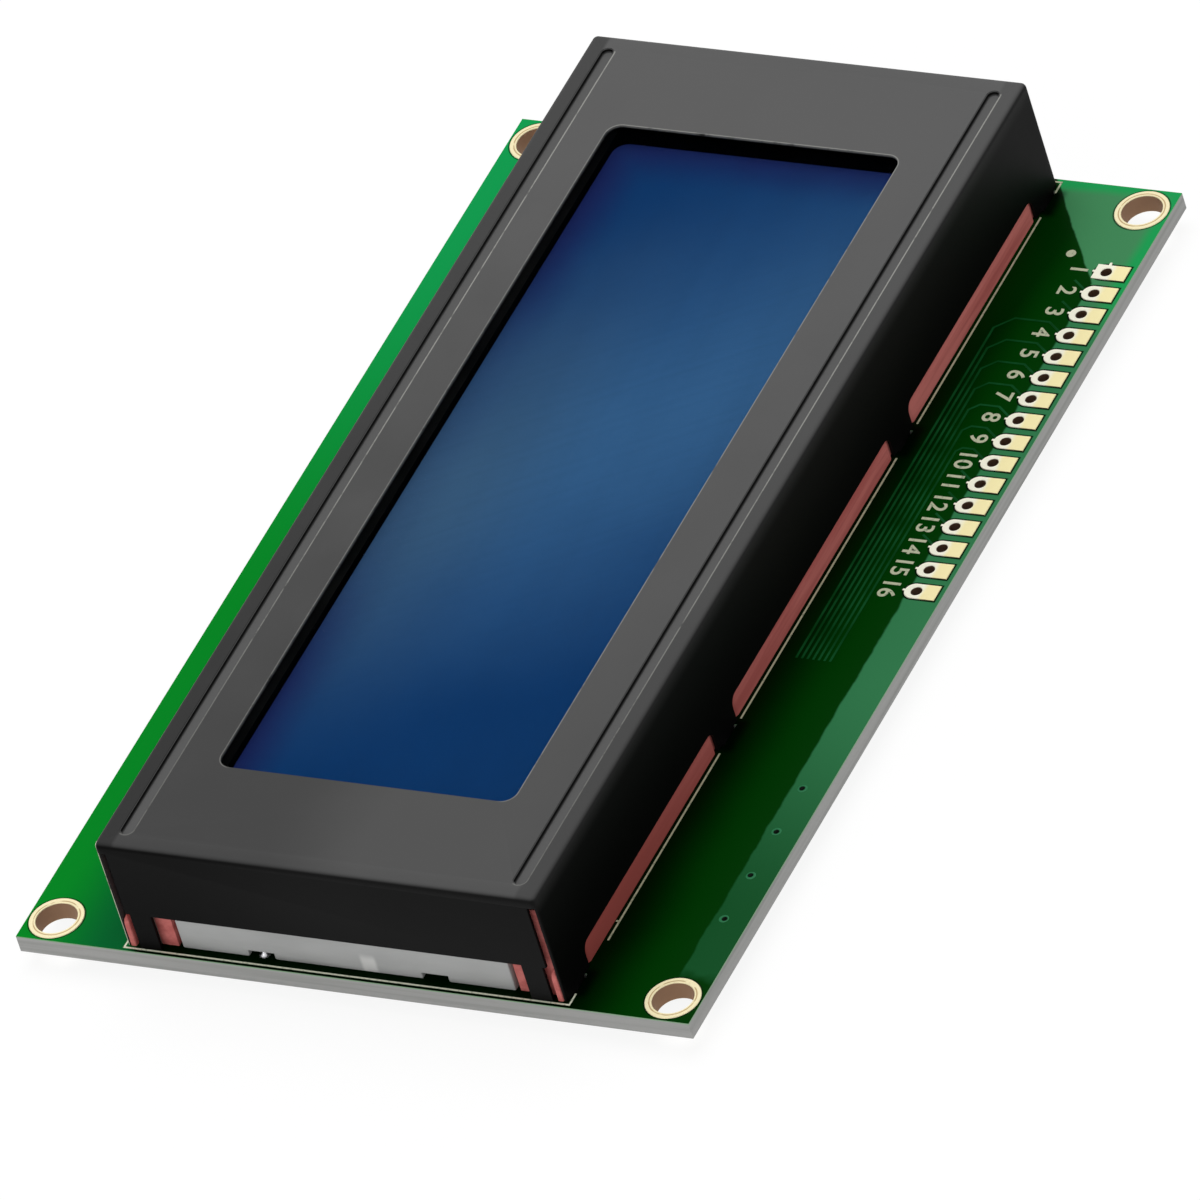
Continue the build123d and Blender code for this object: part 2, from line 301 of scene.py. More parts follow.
@dataclass(frozen=True)
class MaskedLaminate(Finish):
    """Green solder mask over glass laminate, with bare grey cut edges.

    Its top carries painted reflections: a dark one of the frame beside the header side, a bright
    strip beside the far long edge, and a pale band in one corner.
    """

    # Most top colours below are painted reflections on the glossy mask: a dark one of the frame, a bright
    # strip by the far long edge and a pale band in one corner.
    frame_reflection_dark: Colour = srgb(0, 22, 1)
    over_copper: Colour = srgb(0, 58, 3)
    strip_reflection: Colour = srgb(2, 108, 50)
    strip_reflection_edge: Colour = srgb(2, 148, 40)
    strip_reflection_far: Colour = srgb(18, 172, 88)
    pale_far: Colour = srgb(74, 150, 98)
    pale_mid: Colour = srgb(56, 132, 84)
    pale_near: Colour = srgb(24, 88, 44)
    foot_shade: Colour = srgb(0, 5, 1)
    pale_edge: Colour = srgb(34, 172, 92)
    gap: Colour = srgb(2, 26, 4)
    back: Colour = srgb(6, 70, 24)
    cut_edge: Colour = srgb(190, 190, 188)
    cut_layer: Colour = srgb(170, 171, 168)
    arris: Colour = srgb(150, 196, 150)
    strip_y: float = -19.6
    pale_y: float = 26.9
    pale_end_x: float = 43.0
    corner_slope: float = 0.71
    corner_start: float = 53.6
    reflection_y: Point = (19.2, 25.0)
    frame_reflection_fade_x: Point = (-20.0, -40.0)
    pale_far_x: Point = (-40.0, -30.0)
    pale_near_x: Point = (8.0, 38.0)
    tip_x: Point = (-30.0, -38.0)
    strip_x: Point = (10.0, -40.0)
    legs_x: tuple[Point, Point] = ((15.6, 19.2), (44.6, 47.6))
    legs_y: Point = (18.0, 20.2)
    gap_width: float = 0.16
    weave: float = 0.55
    weave_depth: float = 0.002

    def hole_distance(self, sheet: ShaderSheet, x: Signal, y: Signal) -> Signal:
        """How far a place lies from the middle of the nearest mounting hole."""
        high = extent("mounting_hole_lands")[1] - PlatedHoles.mount_land
        return sheet.length(abs(x) - high[0], abs(y) - high[1])

    def pad_distance(self, sheet: ShaderSheet, x: Signal, y: Signal) -> Signal:
        """How far a place lies outside the nearest header pad's outline.

        Towards the board's middle the pad is a half disc, so the distance is that from its centre
        less its radius; towards the edge it is a bar, so it is the larger of both overshoots.
        """
        low, high = extent("header_pads")
        half = PlatedHoles.pad_width / 2
        pitch = (high[0] - low[0] - 2 * half) / (PlatedHoles.pin_count - 1)
        across = abs((x - (low[0] + half - pitch / 2)) % pitch - pitch / 2)
        beyond = sheet.larger(low[0] - x, x - high[0])
        across = sheet.larger(across, beyond + half)
        centre = high[1] - PlatedHoles.pad_outer - (PlatedHoles.pad_inner - half)
        disc = sheet.length(across, sheet.smaller(y - centre, 0.0)) - half
        return sheet.larger(disc, y - high[1])

    def build(self, sheet: ShaderSheet) -> Material:
        """Painted reflections by place, a woven glass relief, and layers on the cut edges."""
        mix, blend, rise, within = sheet.mix, sheet.blend, sheet.rise, sheet.within
        place, x, y, z = sheet.spot()
        _, _, up = sheet.facing()
        low, high = extent("circuit_board")
        cloud = sheet.noise(place, 14.0, 3.0)
        wander = (cloud - 0.5) * 2.0
        ripple = (sheet.noise(place, 2.2, 3.0) - 0.5) * 0.5
        # Painted reflection of the black frame: dark beside it, fading away from it and towards the far end.
        middle = sheet.larger(rise(y + wander, *self.reflection_y), rise(x, *self.frame_reflection_fade_x) * 0.6)
        copper = mix(middle, self.frame_reflection_dark, self.over_copper)
        # Painted reflection of the bright surroundings: a pale band beyond a slanting line in one corner,
        # ending before the near end, paler still at the far tip.
        border = sheet.smaller(x * self.corner_slope + self.corner_start, self.pale_y) + ripple
        inside = rise(y - border, -0.12, 0.12)
        inside = inside * rise(x + ripple * 4.0, self.pale_end_x + 1.5, self.pale_end_x)
        pale = blend(x, *self.pale_far_x, self.pale_far, self.pale_mid)
        pale = blend(x, *self.pale_near_x, pale, self.pale_near)
        tip = sheet.larger(x * -1.0 - high[0], y - high[1]) + (cloud - 0.5) * 1.6
        tip = rise(tip, -1.6, -0.4) * rise(x, *self.tip_x)
        green = mix(inside, copper, mix(tip, pale, self.pale_edge))
        # Painted reflection: a bright strip between the frame and the far long edge, brighter towards the
        # edge and the far end.
        strip = rise(y + wander * 1.5, low[1] + 8.5, low[1] + 1.5)
        strip = mix(strip, self.strip_reflection, self.strip_reflection_edge)
        strip = blend(x, *self.strip_x, strip, self.strip_reflection_far)
        green = blend(y, self.strip_y + 0.6, self.strip_y - 0.6, green, strip)
        away = self.pad_distance(sheet, x, y)
        green = mix(within(away, -0.2, self.gap_width, 0.05), green, self.gap)
        land = PlatedHoles.mount_land
        hole = self.hole_distance(sheet, x, y)
        green = mix(within(hole, land - 0.1, land + 0.12, 0.05) * 0.8, green, self.gap)
        leg = sheet.larger(*(within(abs(x), *ends, 0.4) for ends in self.legs_x))
        leg = leg * within(y + ripple, *self.legs_y, 0.5)
        green = mix(leg * 0.9, green, self.foot_shade)
        green = blend(up, -0.4, -0.6, green, self.back)
        layers = sheet.noise(sheet.stretched(place, 0.04, 0.04, 2.5), 1.0, 2.0)
        cut = blend(layers, 0.4, 0.8, self.cut_edge, self.cut_layer)
        cut = mix(rise(z, high[2] - 0.16, high[2] - 0.06) * 0.8, cut, self.arris)
        side = rise(abs(up), 0.6, 0.4)
        warp, weft = (sheet.math("SINE", along * (math.tau / self.weave)) for along in (x, y))
        return sheet.finish(
            Base_Color=mix(side, green, cut),
            Roughness=cloud * 0.12 + 0.24 + side * 0.35,
            Specular_IOR_Level=0.015,
            Normal=sheet.relief(warp * weft * 0.5 + 0.5, self.weave_depth),
        )


@dataclass(frozen=True)
class MaskedCopper(Finish):
    """Green solder mask where a copper line lifts it."""

    green: Colour = srgb(20, 86, 42)
    deep: Colour = srgb(8, 66, 24)
    rim: Colour = srgb(52, 128, 84)
    pit: Colour = srgb(2, 12, 4)
    via_start: float = 22.2
    via_pitch: float = 5.04
    via_row: float = 27.87

    def build(self, sheet: ShaderSheet) -> Material:
        """Slightly uneven lighter green, with a dark pit in each filled hole.

        A filled hole's middle lies at every multiple of the pitch from the first one along its row.
        """
        place, x, y, _ = sheet.spot()
        cloud = sheet.noise(place, 3.0)
        colour = sheet.blend(cloud, 0.3, 0.7, self.green, self.deep)
        across = (x - (self.via_start - self.via_pitch / 2)) % self.via_pitch - self.via_pitch / 2
        along = y - self.via_row
        pit = sheet.blend(sheet.length(across, along), 0.2, 0.3, self.pit, self.rim)
        colour = sheet.blend(along, -0.6, -0.5, colour, pit)
        return sheet.finish(Base_Color=colour, Roughness=cloud * 0.1 + 0.25, Specular_IOR_Level=0.03)


@dataclass(frozen=True)
class GoldPlate(Finish):
    """Thin pale gold over nickel: cream round each hole, yellower outwards, brown inside the holes."""

    gold: Colour = srgb(252, 240, 182)
    pale: Colour = srgb(252, 250, 230)
    ring: Colour = srgb(250, 238, 194)
    barrel: Colour = srgb(176, 140, 112)
    pin_barrel: Colour = srgb(106, 78, 60)
    ring_line: Colour = srgb(196, 168, 122)
    ring_radius: float = 1.93
    ring_reach: Point = (3.5, 3.0)
    bright_reach: Point = (0.55, 2.2)

    def build(self, sheet: ShaderSheet) -> Material:
        """Pale gold on the lands and brown on upright walls, with fine grain.

        A thin darker line runs round each mounting hole, by distance from the nearest one.
        """
        mix, rise = sheet.mix, sheet.rise
        place, x, y, _ = sheet.spot()
        _, _, up = sheet.facing()
        away = MaskedLaminate().hole_distance(sheet, x, y)
        by_ring = rise(away, *self.ring_reach)
        row = extent("header_pads")[1][1] - PlatedHoles.pad_outer
        cloud = sheet.noise(place, 1.2, 3.0)
        grain = sheet.noise(place, 0.09, 2.0)
        start, end = self.bright_reach
        outwards = sheet.within(y + (cloud - 0.5) * 0.5, row + start, row + end, 0.3)
        flat = mix(by_ring, mix(outwards, self.pale, self.gold), self.ring)
        near = self.ring_radius + (cloud - 0.5) * 0.1
        line = rise(abs(away - near), 0.08, 0.03) * rise(cloud, 0.3, 0.5)
        flat = mix(line, flat, self.ring_line)
        wall = rise(abs(up), 0.5, 0.2)
        colour = mix(wall, flat, mix(by_ring, self.pin_barrel, self.barrel))
        return sheet.finish(
            Base_Color=colour,
            Metallic=0.35 - wall * 0.15,
            Roughness=grain * 0.15 + 0.35 + wall * 0.15,
            Specular_IOR_Level=0.25,
            Normal=sheet.relief(grain, 0.003),
        )


@dataclass(frozen=True)
class SilkInk(Finish):
    """Cream marking ink, slightly worn."""

    ink: Colour = srgb(202, 206, 174)
    front: Colour = srgb(248, 250, 226)
    thin: Colour = srgb(118, 140, 112)
    front_x: Point = (46.5, 48.0)

    def build(self, sheet: ShaderSheet) -> Material:
        """Cream with thin greenish spots, and paler along the near end."""
        place, x, _, _ = sheet.spot()
        wear_and_highlight_noise = sheet.noise(place, 0.35, 3.0, 0.6)
        ink = sheet.blend(x, *self.front_x, self.ink, self.front)
        colour = sheet.blend(wear_and_highlight_noise, 0.5, 0.78, ink, self.thin)
        return sheet.finish(Base_Color=colour, Roughness=wear_and_highlight_noise * 0.2 + 0.5, Specular_IOR_Level=0.1)


@dataclass(frozen=True)
class WindowOutline:
    """The display window's outline: a box with round corners."""

    corner: float = 1.2
    low_y: float = -13.95
    high_y: float = 12.45
    half_x: float = 38.3

    def distance(self, sheet: ShaderSheet, x: Signal, y: Signal, corner: float) -> Signal:
        """How far a place lies outside the outline, below zero inside it.

        With the overshoots past the box shrunk by the corner radius on both axes, it is the length
        of their positive parts, plus the larger one where it is negative, less the radius.

        Args:
            sheet: the sheet that the nodes go to.
            x, y: the place, in millimetres.
            corner: the radius of the corners.
        """
        middle_y, half_y = (self.low_y + self.high_y) / 2, (self.high_y - self.low_y) / 2
        over_x = abs(x) - (self.half_x - corner)
        over_y = abs(y - middle_y) - (half_y - corner)
        outside = sheet.length(sheet.larger(over_x, 0.0), sheet.larger(over_y, 0.0))
        return outside + sheet.smaller(sheet.larger(over_x, over_y), 0.0) - corner


@dataclass(frozen=True)
class CoatedSteel(Finish):
    """Satin black paint on thin steel, with a painted sheen on the flat top and painted highlights along a
    few edges.
    """

    # Painted light: the top and margin tones are a painted sheen and shade, the end and wall tones painted
    # shade, and the two brightest tones painted highlights.
    top_far: Colour = srgb(101, 101, 101)
    near_left: Colour = srgb(74, 74, 74)
    near_right: Colour = srgb(89, 89, 89)
    margin_far: Colour = srgb(74, 74, 74)
    margin_near: Colour = srgb(54, 54, 54)
    end_left: Colour = srgb(5, 5, 5)
    end_right: Colour = srgb(22, 22, 22)
    wall_top: Colour = srgb(36, 36, 36)
    wall_foot: Colour = srgb(3, 3, 3)
    bright: Colour = srgb(184, 184, 178)
    gleam: Colour = srgb(226, 226, 204)
    window: WindowOutline = WindowOutline()
    # The width of the painted rim highlight.
    worn: float = 0.11
    groove_half: float = 0.6
    groove_end: float = 47.0
    groove_offset: float = 17.5
    margin_offset: Point = (17.7, 18.1)
    slit_y: Point = (-19.0, -19.4)
    near_y: Point = (-7.0, 4.0)
    end_y: Point = (-17.0, 2.0)
    rim_far_x: Point = (-37.0, -37.6)
    rim_header_y: Point = (11.0, 12.0)
    rim_left_y: Point = (-12.5, -13.2)
    centre_y: float = -0.55

    def groove(self, sheet: ShaderSheet, x: Signal, y: Signal) -> tuple[Signal, Signal]:
        """How far a place lies from the middle line of the nearest groove, and on which side.

        The middle line is cut short at both ends by half the groove's width. The side is the share
        of the way out that points towards +X and +Y.
        """
        over = sheet.larger(abs(x) - (self.groove_end - self.groove_half), 0.0)
        along = over * sheet.math("SIGN", x)
        across = abs(y - self.centre_y) - self.groove_offset
        away = sheet.length(along, across)
        outward = across * sheet.math("SIGN", y - self.centre_y)
        return away, (along * 0.8 + outward * 0.6) / sheet.larger(away, 0.01)

    def build(self, sheet: ShaderSheet) -> Material:
        """Painted sheen, shade and highlights by face and place, fine paint grain and broad cloudy patches.
        """
        mix, blend, rise, larger = sheet.mix, sheet.blend, sheet.rise, sheet.larger
        place, x, y, z = sheet.spot()
        ahead, across, up = sheet.facing()
        low, high = extent("bezel")
        cloud = sheet.noise(place, 9.0, 4.0, 0.55)
        drift = cloud - 0.5
        # Painted sheen: the top is lighter at the far end and differs from left to right at the near end.
        nearness = rise(x + drift * 36.0, low[0], high[0])
        near = blend(y + drift * 6.0, *self.near_y, self.near_left, self.near_right)
        top = mix(nearness, self.top_far, near)
        # Painted shade: darker margins beyond the grooves, less so on the header side.
        beside = abs(y - self.centre_y) + drift * 0.6
        by_groove = rise(beside, *self.margin_offset) * (0.9 - rise(y, 0.0, 1.0) * 0.5)
        top = mix(by_groove, top, mix(nearness, self.margin_far, self.margin_near))
        # Painted light: the walls are darker than the top, lighter towards their upper bend, and the end wall
        # is darkest beside the slit.
        wall = blend(z, high[2] - 1.8, high[2] - 0.2, self.wall_foot, self.wall_top)
        end = blend(y + drift * 8.0, *self.end_y, self.end_left, self.end_right)
        wall = blend(ahead, 0.4, 0.8, wall, end)
        # Painted light: the far wall's inner face, seen through the corner slit, gets the lighter near-left
        # top tone against its shade.
        wall = mix(rise(y, *self.slit_y) * rise(across, 0.4, 0.8), wall, self.near_left)
        colour = blend(up, 0.45, 0.97, wall, top)
        # Painted light in the grooves: the floor gets the lit top tone against its shade, and a dark band of
        # painted shade lies low on the wall on the -X and -Y side.
        away, side = self.groove(sheet, x, y)
        half = self.groove_half
        in_groove = rise(away, half + 0.1, half + 0.05) * rise(z, high[2] - 0.02, high[2] - 0.06)
        cut = rise(side, -0.1, -0.4) * rise(z, high[2] - 0.07, high[2] - 0.12)
        edge = rise(away, half - 0.2, half - 0.1) * cut
        colour = mix(in_groove, colour, mix(edge, self.top_far, self.wall_foot))
        # Painted highlights on the top only: along the window's rim at its far end, header side and -Y side,
        # and beside each groove on its +X and +Y side, stronger towards the far end.
        rim = abs(self.window.distance(sheet, x, y, self.window.corner) - 0.02)
        by_side = larger(rise(x, *self.rim_far_x) * 0.5, rise(y, *self.rim_header_y) * 0.5)
        by_side = larger(by_side, rise(y, *self.rim_left_y) * 0.3)
        lit = rise(rim, self.worn, self.worn * 0.4) * by_side
        ridge = sheet.within(away, half, half + 0.12, 0.04) * rise(side, 0.1, 0.4)
        ridge = ridge * rise(x, high[0], low[0] / 2) * 0.45 + ridge * 0.25
        lit = larger(lit, ridge) * rise(z, high[2] - 0.25, high[2] - 0.1)
        # Painted highlights on the far wall's upper outer part, its top bend and its near end post, broken up
        # by noise; the bend's is stronger towards the far end.
        outer = rise(y, low[1] + 0.78, low[1] + 0.66) * rise(z, high[2] - 0.9, high[2] - 0.3)
        post = rise(y, low[1] + 0.84, low[1] + 0.76) * rise(x, high[0] - 0.6, high[0] - 0.5)
        wear_and_highlight_noise = sheet.noise(place, 1.6, 3.0, 0.7)
        bare = rise(wear_and_highlight_noise, 0.25, 0.5)
        colour = mix(larger(lit, outer * 0.85) * bare, colour, self.bright)
        bend = rise(y, low[1] + 0.46, low[1] + 0.38) * rise(z, high[2] - 0.6, high[2] - 0.4)
        bend = bend * (rise(x + (wear_and_highlight_noise - 0.5) * 30.0, high[0], low[0] * 0.7) * 0.5 + 0.5)
        return sheet.finish(
            Base_Color=mix(larger(bend, post * bare), colour, self.gleam),
            Roughness=cloud * 0.14 + 0.46,
            Specular_IOR_Level=0.05,
            Normal=sheet.relief(sheet.noise(place, 0.22, 2.0), 0.002),
        )


@dataclass(frozen=True)
class DisplayFilm(Finish):
    """Clear polarising film, faintly dark, with a few scuffs."""

    tint: Colour = srgb(2, 5, 12)

    def build(self, sheet: ShaderSheet) -> Material:
        """Almost clear, with long faint scuffs in its gloss."""
        place = sheet.place()
        scuff = sheet.noise(sheet.stretched(place, 0.15, 1.2, 1.0), 3.0, 4.0, 0.6)
        return sheet.finish(
            Base_Color=self.tint,
            Alpha=sheet.rise(scuff, 0.3, 0.9) * 0.03 + 0.05,
            Roughness=scuff * 0.15 + 0.2,
            Specular_IOR_Level=0.02,
        )


@dataclass(frozen=True)
class CellGlass(Finish):
    """Clear glass of the display cell, with black printed under its margins."""

    tint: Colour = srgb(3, 6, 12)
    border: Colour = srgb(1, 1, 1)
    half_x: float = 46.6
    low_y: float = -15.6
    high_y: float = 14.4

    def build(self, sheet: ShaderSheet) -> Material:
        """Clear above, black below outside the glued seal."""
        place, x, y, _ = sheet.spot()
        _, _, up = sheet.facing()
        clear = sheet.within(x, -self.half_x, self.half_x, 0.05)
        clear = clear * sheet.within(y, self.low_y, self.high_y, 0.05)
        printed = (1.0 - clear) * sheet.rise(up, -0.3, -0.6)
        haze = sheet.noise(place, 6.0)
        return sheet.finish(
            Base_Color=sheet.mix(printed, self.tint, self.border),
            Alpha=sheet.larger(printed, haze * 0.02 + 0.03),
            Roughness=haze * 0.05 + 0.05,
            Specular_IOR_Level=0.02,
        )


@dataclass(frozen=True)
class DisplayField(Finish):
    """The switched-off field of the display: deep blue, a painted glare lighter in its middle, violet at two
    sides.
    """

    middle: Colour = srgb(53, 96, 141)
    haze: Colour = srgb(58, 92, 126)
    body: Colour = srgb(16, 57, 107)
    violet: Colour = srgb(28, 33, 86)
    border: Colour = srgb(0, 0, 0)
    inset: float = 0.25
    corner: float = 1.5
    glow_x: float = -4.5
    glow_slant: float = 0.71
    glow_reach: float = 37.0
    haze_y: Point = (2.0, -11.0)
    violet_x: Point = (8.0, 28.0)
    window: WindowOutline = WindowOutline()

    def build(self, sheet: ShaderSheet) -> Material:
        """A slanting band of painted glare across the middle, violet near the far and left edges, painted
        shade beyond the window and a weak painted glow.
        """
        place, x, y, _ = sheet.spot()
        window = self.window
        # Painted glare: a lighter slanting band across the middle, greyer towards the -Y side.
        wander = (sheet.noise(place, 16.0, 3.0, 0.45) - 0.5) * 10.0
        away = abs(x + y * self.glow_slant - self.glow_x + wander)
        light = sheet.blend(y, *self.haze_y, self.middle, self.haze)
        colour = sheet.blend(away, self.glow_reach, 0.0, self.body, light)
        edge = sheet.smaller(x + window.half_x, y - window.low_y) + wander * 0.3
        ends = sheet.rise(abs(x), *self.violet_x) * 0.65 + 0.2
        colour = sheet.mix(sheet.rise(edge, 5.0, 0.0) * ends, colour, self.violet)
        # Painted shade: black from just inside the window's outline outwards, where the frame's edge and the
        # gap under it lie in shade.
        away = window.distance(sheet, x, y, self.corner) + self.inset
        colour = sheet.blend(away, -0.04, 0.04, colour, self.border)
        return sheet.finish(
            Base_Color=colour,
            Roughness=0.5,
            Specular_IOR_Level=0.0,
            # Painted glow: the switched-off field gives off a little of its own colour, which lightens it in
            # the frame's shade.
            Emission_Color=colour,
            Emission_Strength=0.3,
        )


@dataclass(frozen=True)
class CuredGlue(Finish):
    """Dark cured glue round the cell."""

    glue: Colour = srgb(14, 14, 15)
    pale: Colour = srgb(40, 40, 38)

    def build(self, sheet: ShaderSheet) -> Material:
        """Dark with soft flow marks."""
        flow = sheet.noise(sheet.place(), 1.5, 3.0)
        colour = sheet.mix(flow * 0.4, self.glue, self.pale)
        return sheet.finish(Base_Color=colour, Roughness=flow * 0.2 + 0.4)


@dataclass(frozen=True)
class PinkSilicone(Finish):
    """Soft pink silicone of the contact strips, darker in its streaks."""

    pink: Colour = srgb(232, 136, 130)
    streak: Colour = srgb(204, 106, 102)
    dim: Colour = srgb(172, 84, 78)
    dark: Colour = srgb(0, 0, 0)
    end_x: Point = (46.8, 47.5)
    dim_x: Point = (-10.0, 44.0)

    def build(self, sheet: ShaderSheet) -> Material:
        """Lengthwise streaks, fine dust, and a weak painted glow that is weaker at the ends."""
        place, x, _, _ = sheet.spot()
        streaks = sheet.noise(sheet.stretched(place, 0.08, 1.0, 1.3), 1.2, 4.0, 0.6)
        dust = sheet.noise(place, 0.12, 2.0)
        colour = sheet.blend(streaks, 0.3, 0.72, self.pink, self.streak)
        end = sheet.rise(abs(x), *self.end_x)
        colour = sheet.mix(sheet.rise(x, *self.dim_x) * (1.0 - end), colour, self.dim)
        return sheet.finish(
            Base_Color=colour,
            Roughness=dust * 0.15 + 0.55,
            Specular_IOR_Level=0.1,
            # Painted glow: a little of the pink is given off, less at the strips' ends, to lighten them in
            # the frame's shade.
            Emission_Color=sheet.mix(0.4 - end * 0.3, self.dark, colour),
            Emission_Strength=0.12,
            Normal=sheet.relief(streaks, 0.02),
        )


@dataclass(frozen=True)
class LayeredConductor(Finish):
    """The contact strips' core: thin dark and pale layers by turns along its length."""

    dark: Colour = srgb(22, 22, 24)
    pale: Colour = srgb(150, 132, 124)
    pitch: float = 0.2

    def build(self, sheet: ShaderSheet) -> Material:
        """Stripes across the strip."""
        _, x, _, _ = sheet.spot()
        stripe = sheet.rise(abs(x % self.pitch - self.pitch / 2), 0.03, 0.06)
        colour = sheet.mix(stripe, self.dark, self.pale)
        return sheet.finish(Base_Color=colour, Roughness=stripe * 0.1 + 0.55)


@dataclass(frozen=True)
class MouldedWhite(Finish):
    """White moulded plastic with faint flow marks."""

    white: Colour = srgb(200, 201, 200)
    shade: Colour = srgb(184, 185, 184)
    bright: Colour = srgb(232, 232, 230)
    mark_y: float = 1.45
    mark_half: float = 0.65

    def build(self, sheet: ShaderSheet) -> Material:
        """Soft flow clouds and a fine moulded grain."""
        place, _, y, z = sheet.spot()
        ahead, _, _ = sheet.facing()
        flow = sheet.noise(sheet.stretched(place, 1.0, 0.4, 1.6), 4.0, 3.0)
        grain = sheet.noise(place, 0.15, 2.0)
        colour = sheet.blend(flow, 0.3, 0.8, self.white, self.shade)
        foot = extent("circuit_board")[1][2]
        mark = sheet.within(y, self.mark_y - self.mark_half, self.mark_y + self.mark_half, 0.2)
        mark = mark * sheet.rise(z, foot + 2.1, foot + 1.2) * sheet.rise(ahead, 0.5, 0.9)
        return sheet.finish(
            Base_Color=sheet.mix(mark, colour, self.bright),
            Roughness=grain * 0.1 + 0.45,
            Specular_IOR_Level=0.2,
            Normal=sheet.relief(grain, 0.003),
        )


@dataclass(frozen=True)
class ClearAcrylic(Finish):
    """Clear acrylic with a pattern of dots that let light out."""

    clear: Colour = srgb(224, 228, 232)
    dot: Colour = srgb(250, 250, 250)
    pitch: float = 1.2

    def build(self, sheet: ShaderSheet) -> Material:
        """A square grid of small round dots."""
        _, x, y, _ = sheet.spot()
        across, along = (value % self.pitch - self.pitch / 2 for value in (x, y))
        spot = sheet.rise(sheet.length(across, along), 0.3, 0.22)
        colour = sheet.mix(spot, self.clear, self.dot)
        return sheet.finish(Base_Color=colour, Alpha=spot * 0.3 + 0.6, Roughness=0.12)


@dataclass(frozen=True)
class LampPhosphor(Finish):
    """Phosphor yellow in a white package."""

    yellow: Colour = srgb(236, 216, 96)
    package: Colour = srgb(232, 232, 226)

    def build(self, sheet: ShaderSheet) -> Material:
        """Yellow with pale grains."""
        grain = sheet.noise(sheet.place(), 0.3, 3.0)
        return sheet.finish(
            Base_Color=sheet.blend(grain, 0.5, 0.7, self.yellow, self.package),
            Roughness=grain * 0.2 + 0.4,
        )


@dataclass(frozen=True)
class TinnedMetal(Finish):
    """Tin and solder, bright with a fine frosted grain."""

    tin: Colour = srgb(214, 214, 216)
    frost: Colour = srgb(168, 168, 172)

    def build(self, sheet: ShaderSheet) -> Material:
        """Frosted patches between bright ones."""
        frost = sheet.noise(sheet.place(), 0.3, 4.0, 0.65)
        return sheet.finish(
            Base_Color=sheet.blend(frost, 0.35, 0.7, self.tin, self.frost),
            Metallic=1.0,
            Roughness=frost * 0.25 + 0.15,
            Normal=sheet.relief(frost, 0.01),
        )


@dataclass(frozen=True)
class PottingResin(Finish):
    """Black potting resin, glossy with soft dull patches."""

    black: Colour = srgb(16, 16, 17)
    dull: Colour = srgb(34, 33, 32)

    def build(self, sheet: ShaderSheet) -> Material:
        """Slow ripples from curing, and dust."""
        place = sheet.place()
        ripple = sheet.noise(place, 3.5, 2.0)
        dust = sheet.noise(place, 0.2, 3.0)
        return sheet.finish(
            Base_Color=sheet.blend(dust, 0.5, 0.8, self.black, self.dull),
            Roughness=ripple * 0.25 + 0.2,
            Normal=sheet.relief(ripple, 0.05),
        )


@dataclass(frozen=True)
class GlazedBlack(Finish):
    """Black glaze over the white ceramic of a chip resistor."""

    glaze: Colour = srgb(24, 24, 27)
    ceramic: Colour = srgb(214, 212, 204)

    def build(self, sheet: ShaderSheet) -> Material:
        """Glaze on the broad face, bare ceramic on the sides."""
        _, _, up = sheet.facing()
        grain = sheet.noise(sheet.place(), 0.2, 2.0)
        colour = sheet.blend(abs(up), 0.6, 0.4, self.glaze, self.ceramic)
        return sheet.finish(Base_Color=colour, Roughness=grain * 0.15 + 0.3)


@dataclass(frozen=True)
class TanCeramic(Finish):
    """Tan ceramic of a chip capacitor."""

    tan: Colour = srgb(176, 138, 96)
    brown: Colour = srgb(140, 104, 70)

    def build(self, sheet: ShaderSheet) -> Material:
        """Fine brown specks."""
        grain = sheet.noise(sheet.place(), 0.18, 3.0, 0.6)
        return sheet.finish(
            Base_Color=sheet.blend(grain, 0.4, 0.7, self.tan, self.brown),
            Roughness=grain * 0.2 + 0.4,
        )


# Surfaces worked out as arrays


def grid_faces(rows: int, columns: int, close_rows: bool = False) -> np.ndarray:
    """The quads of a grid of points whose columns run round and close.

    Args:
        rows: how many rings of points.
        columns: how many points in a ring.
        close_rows: whether the last ring joins the first.

    Returns:
        For each cell the places of its corners: (r, c), (r, c + 1), (r + 1, c + 1), (r + 1, c).
    """
    row, column = np.meshgrid(np.arange(rows if close_rows else rows - 1), np.arange(columns), indexing="ij")
    next_row, next_column = (row + 1) % rows, (column + 1) % columns
    corners = [
        row * columns + column,
        row * columns + next_column,
        next_row * columns + next_column,
        next_row * columns + column,
    ]
    return np.stack(corners, axis=-1).reshape(-1, 4)


def spread(x: np.ndarray | float, y: np.ndarray | float, z: np.ndarray | float) -> np.ndarray:
    """Points from their three parts, each repeated where the others vary."""
    return np.stack(np.broadcast_arrays(x, y, z), axis=-1)


@contextmanager
def edited(mesh: bpy.types.Mesh) -> Iterator[bmesh.types.BMesh]:
    """Lends a mesh's points, edges and faces, and then writes them back."""
    work = bmesh.new()
    work.from_mesh(mesh)
    yield work
    work.to_mesh(mesh)
    work.free()


def shade(mesh: bpy.types.Mesh, finish: Finish) -> None:
    """Gives a mesh its finish, and smooth faces with sharp edges where they turn far."""
    mesh.materials.append(finish.material())
    mesh.shade_smooth()
    mesh.set_sharp_from_angle(angle=SHARP_TURN)


def placed(name: str, data: bpy.types.ID) -> bpy.types.Object:
    """A new object in the scene."""
    item = bpy.data.objects.new(name, data)
    bpy.context.scene.collection.objects.link(item)
    return item


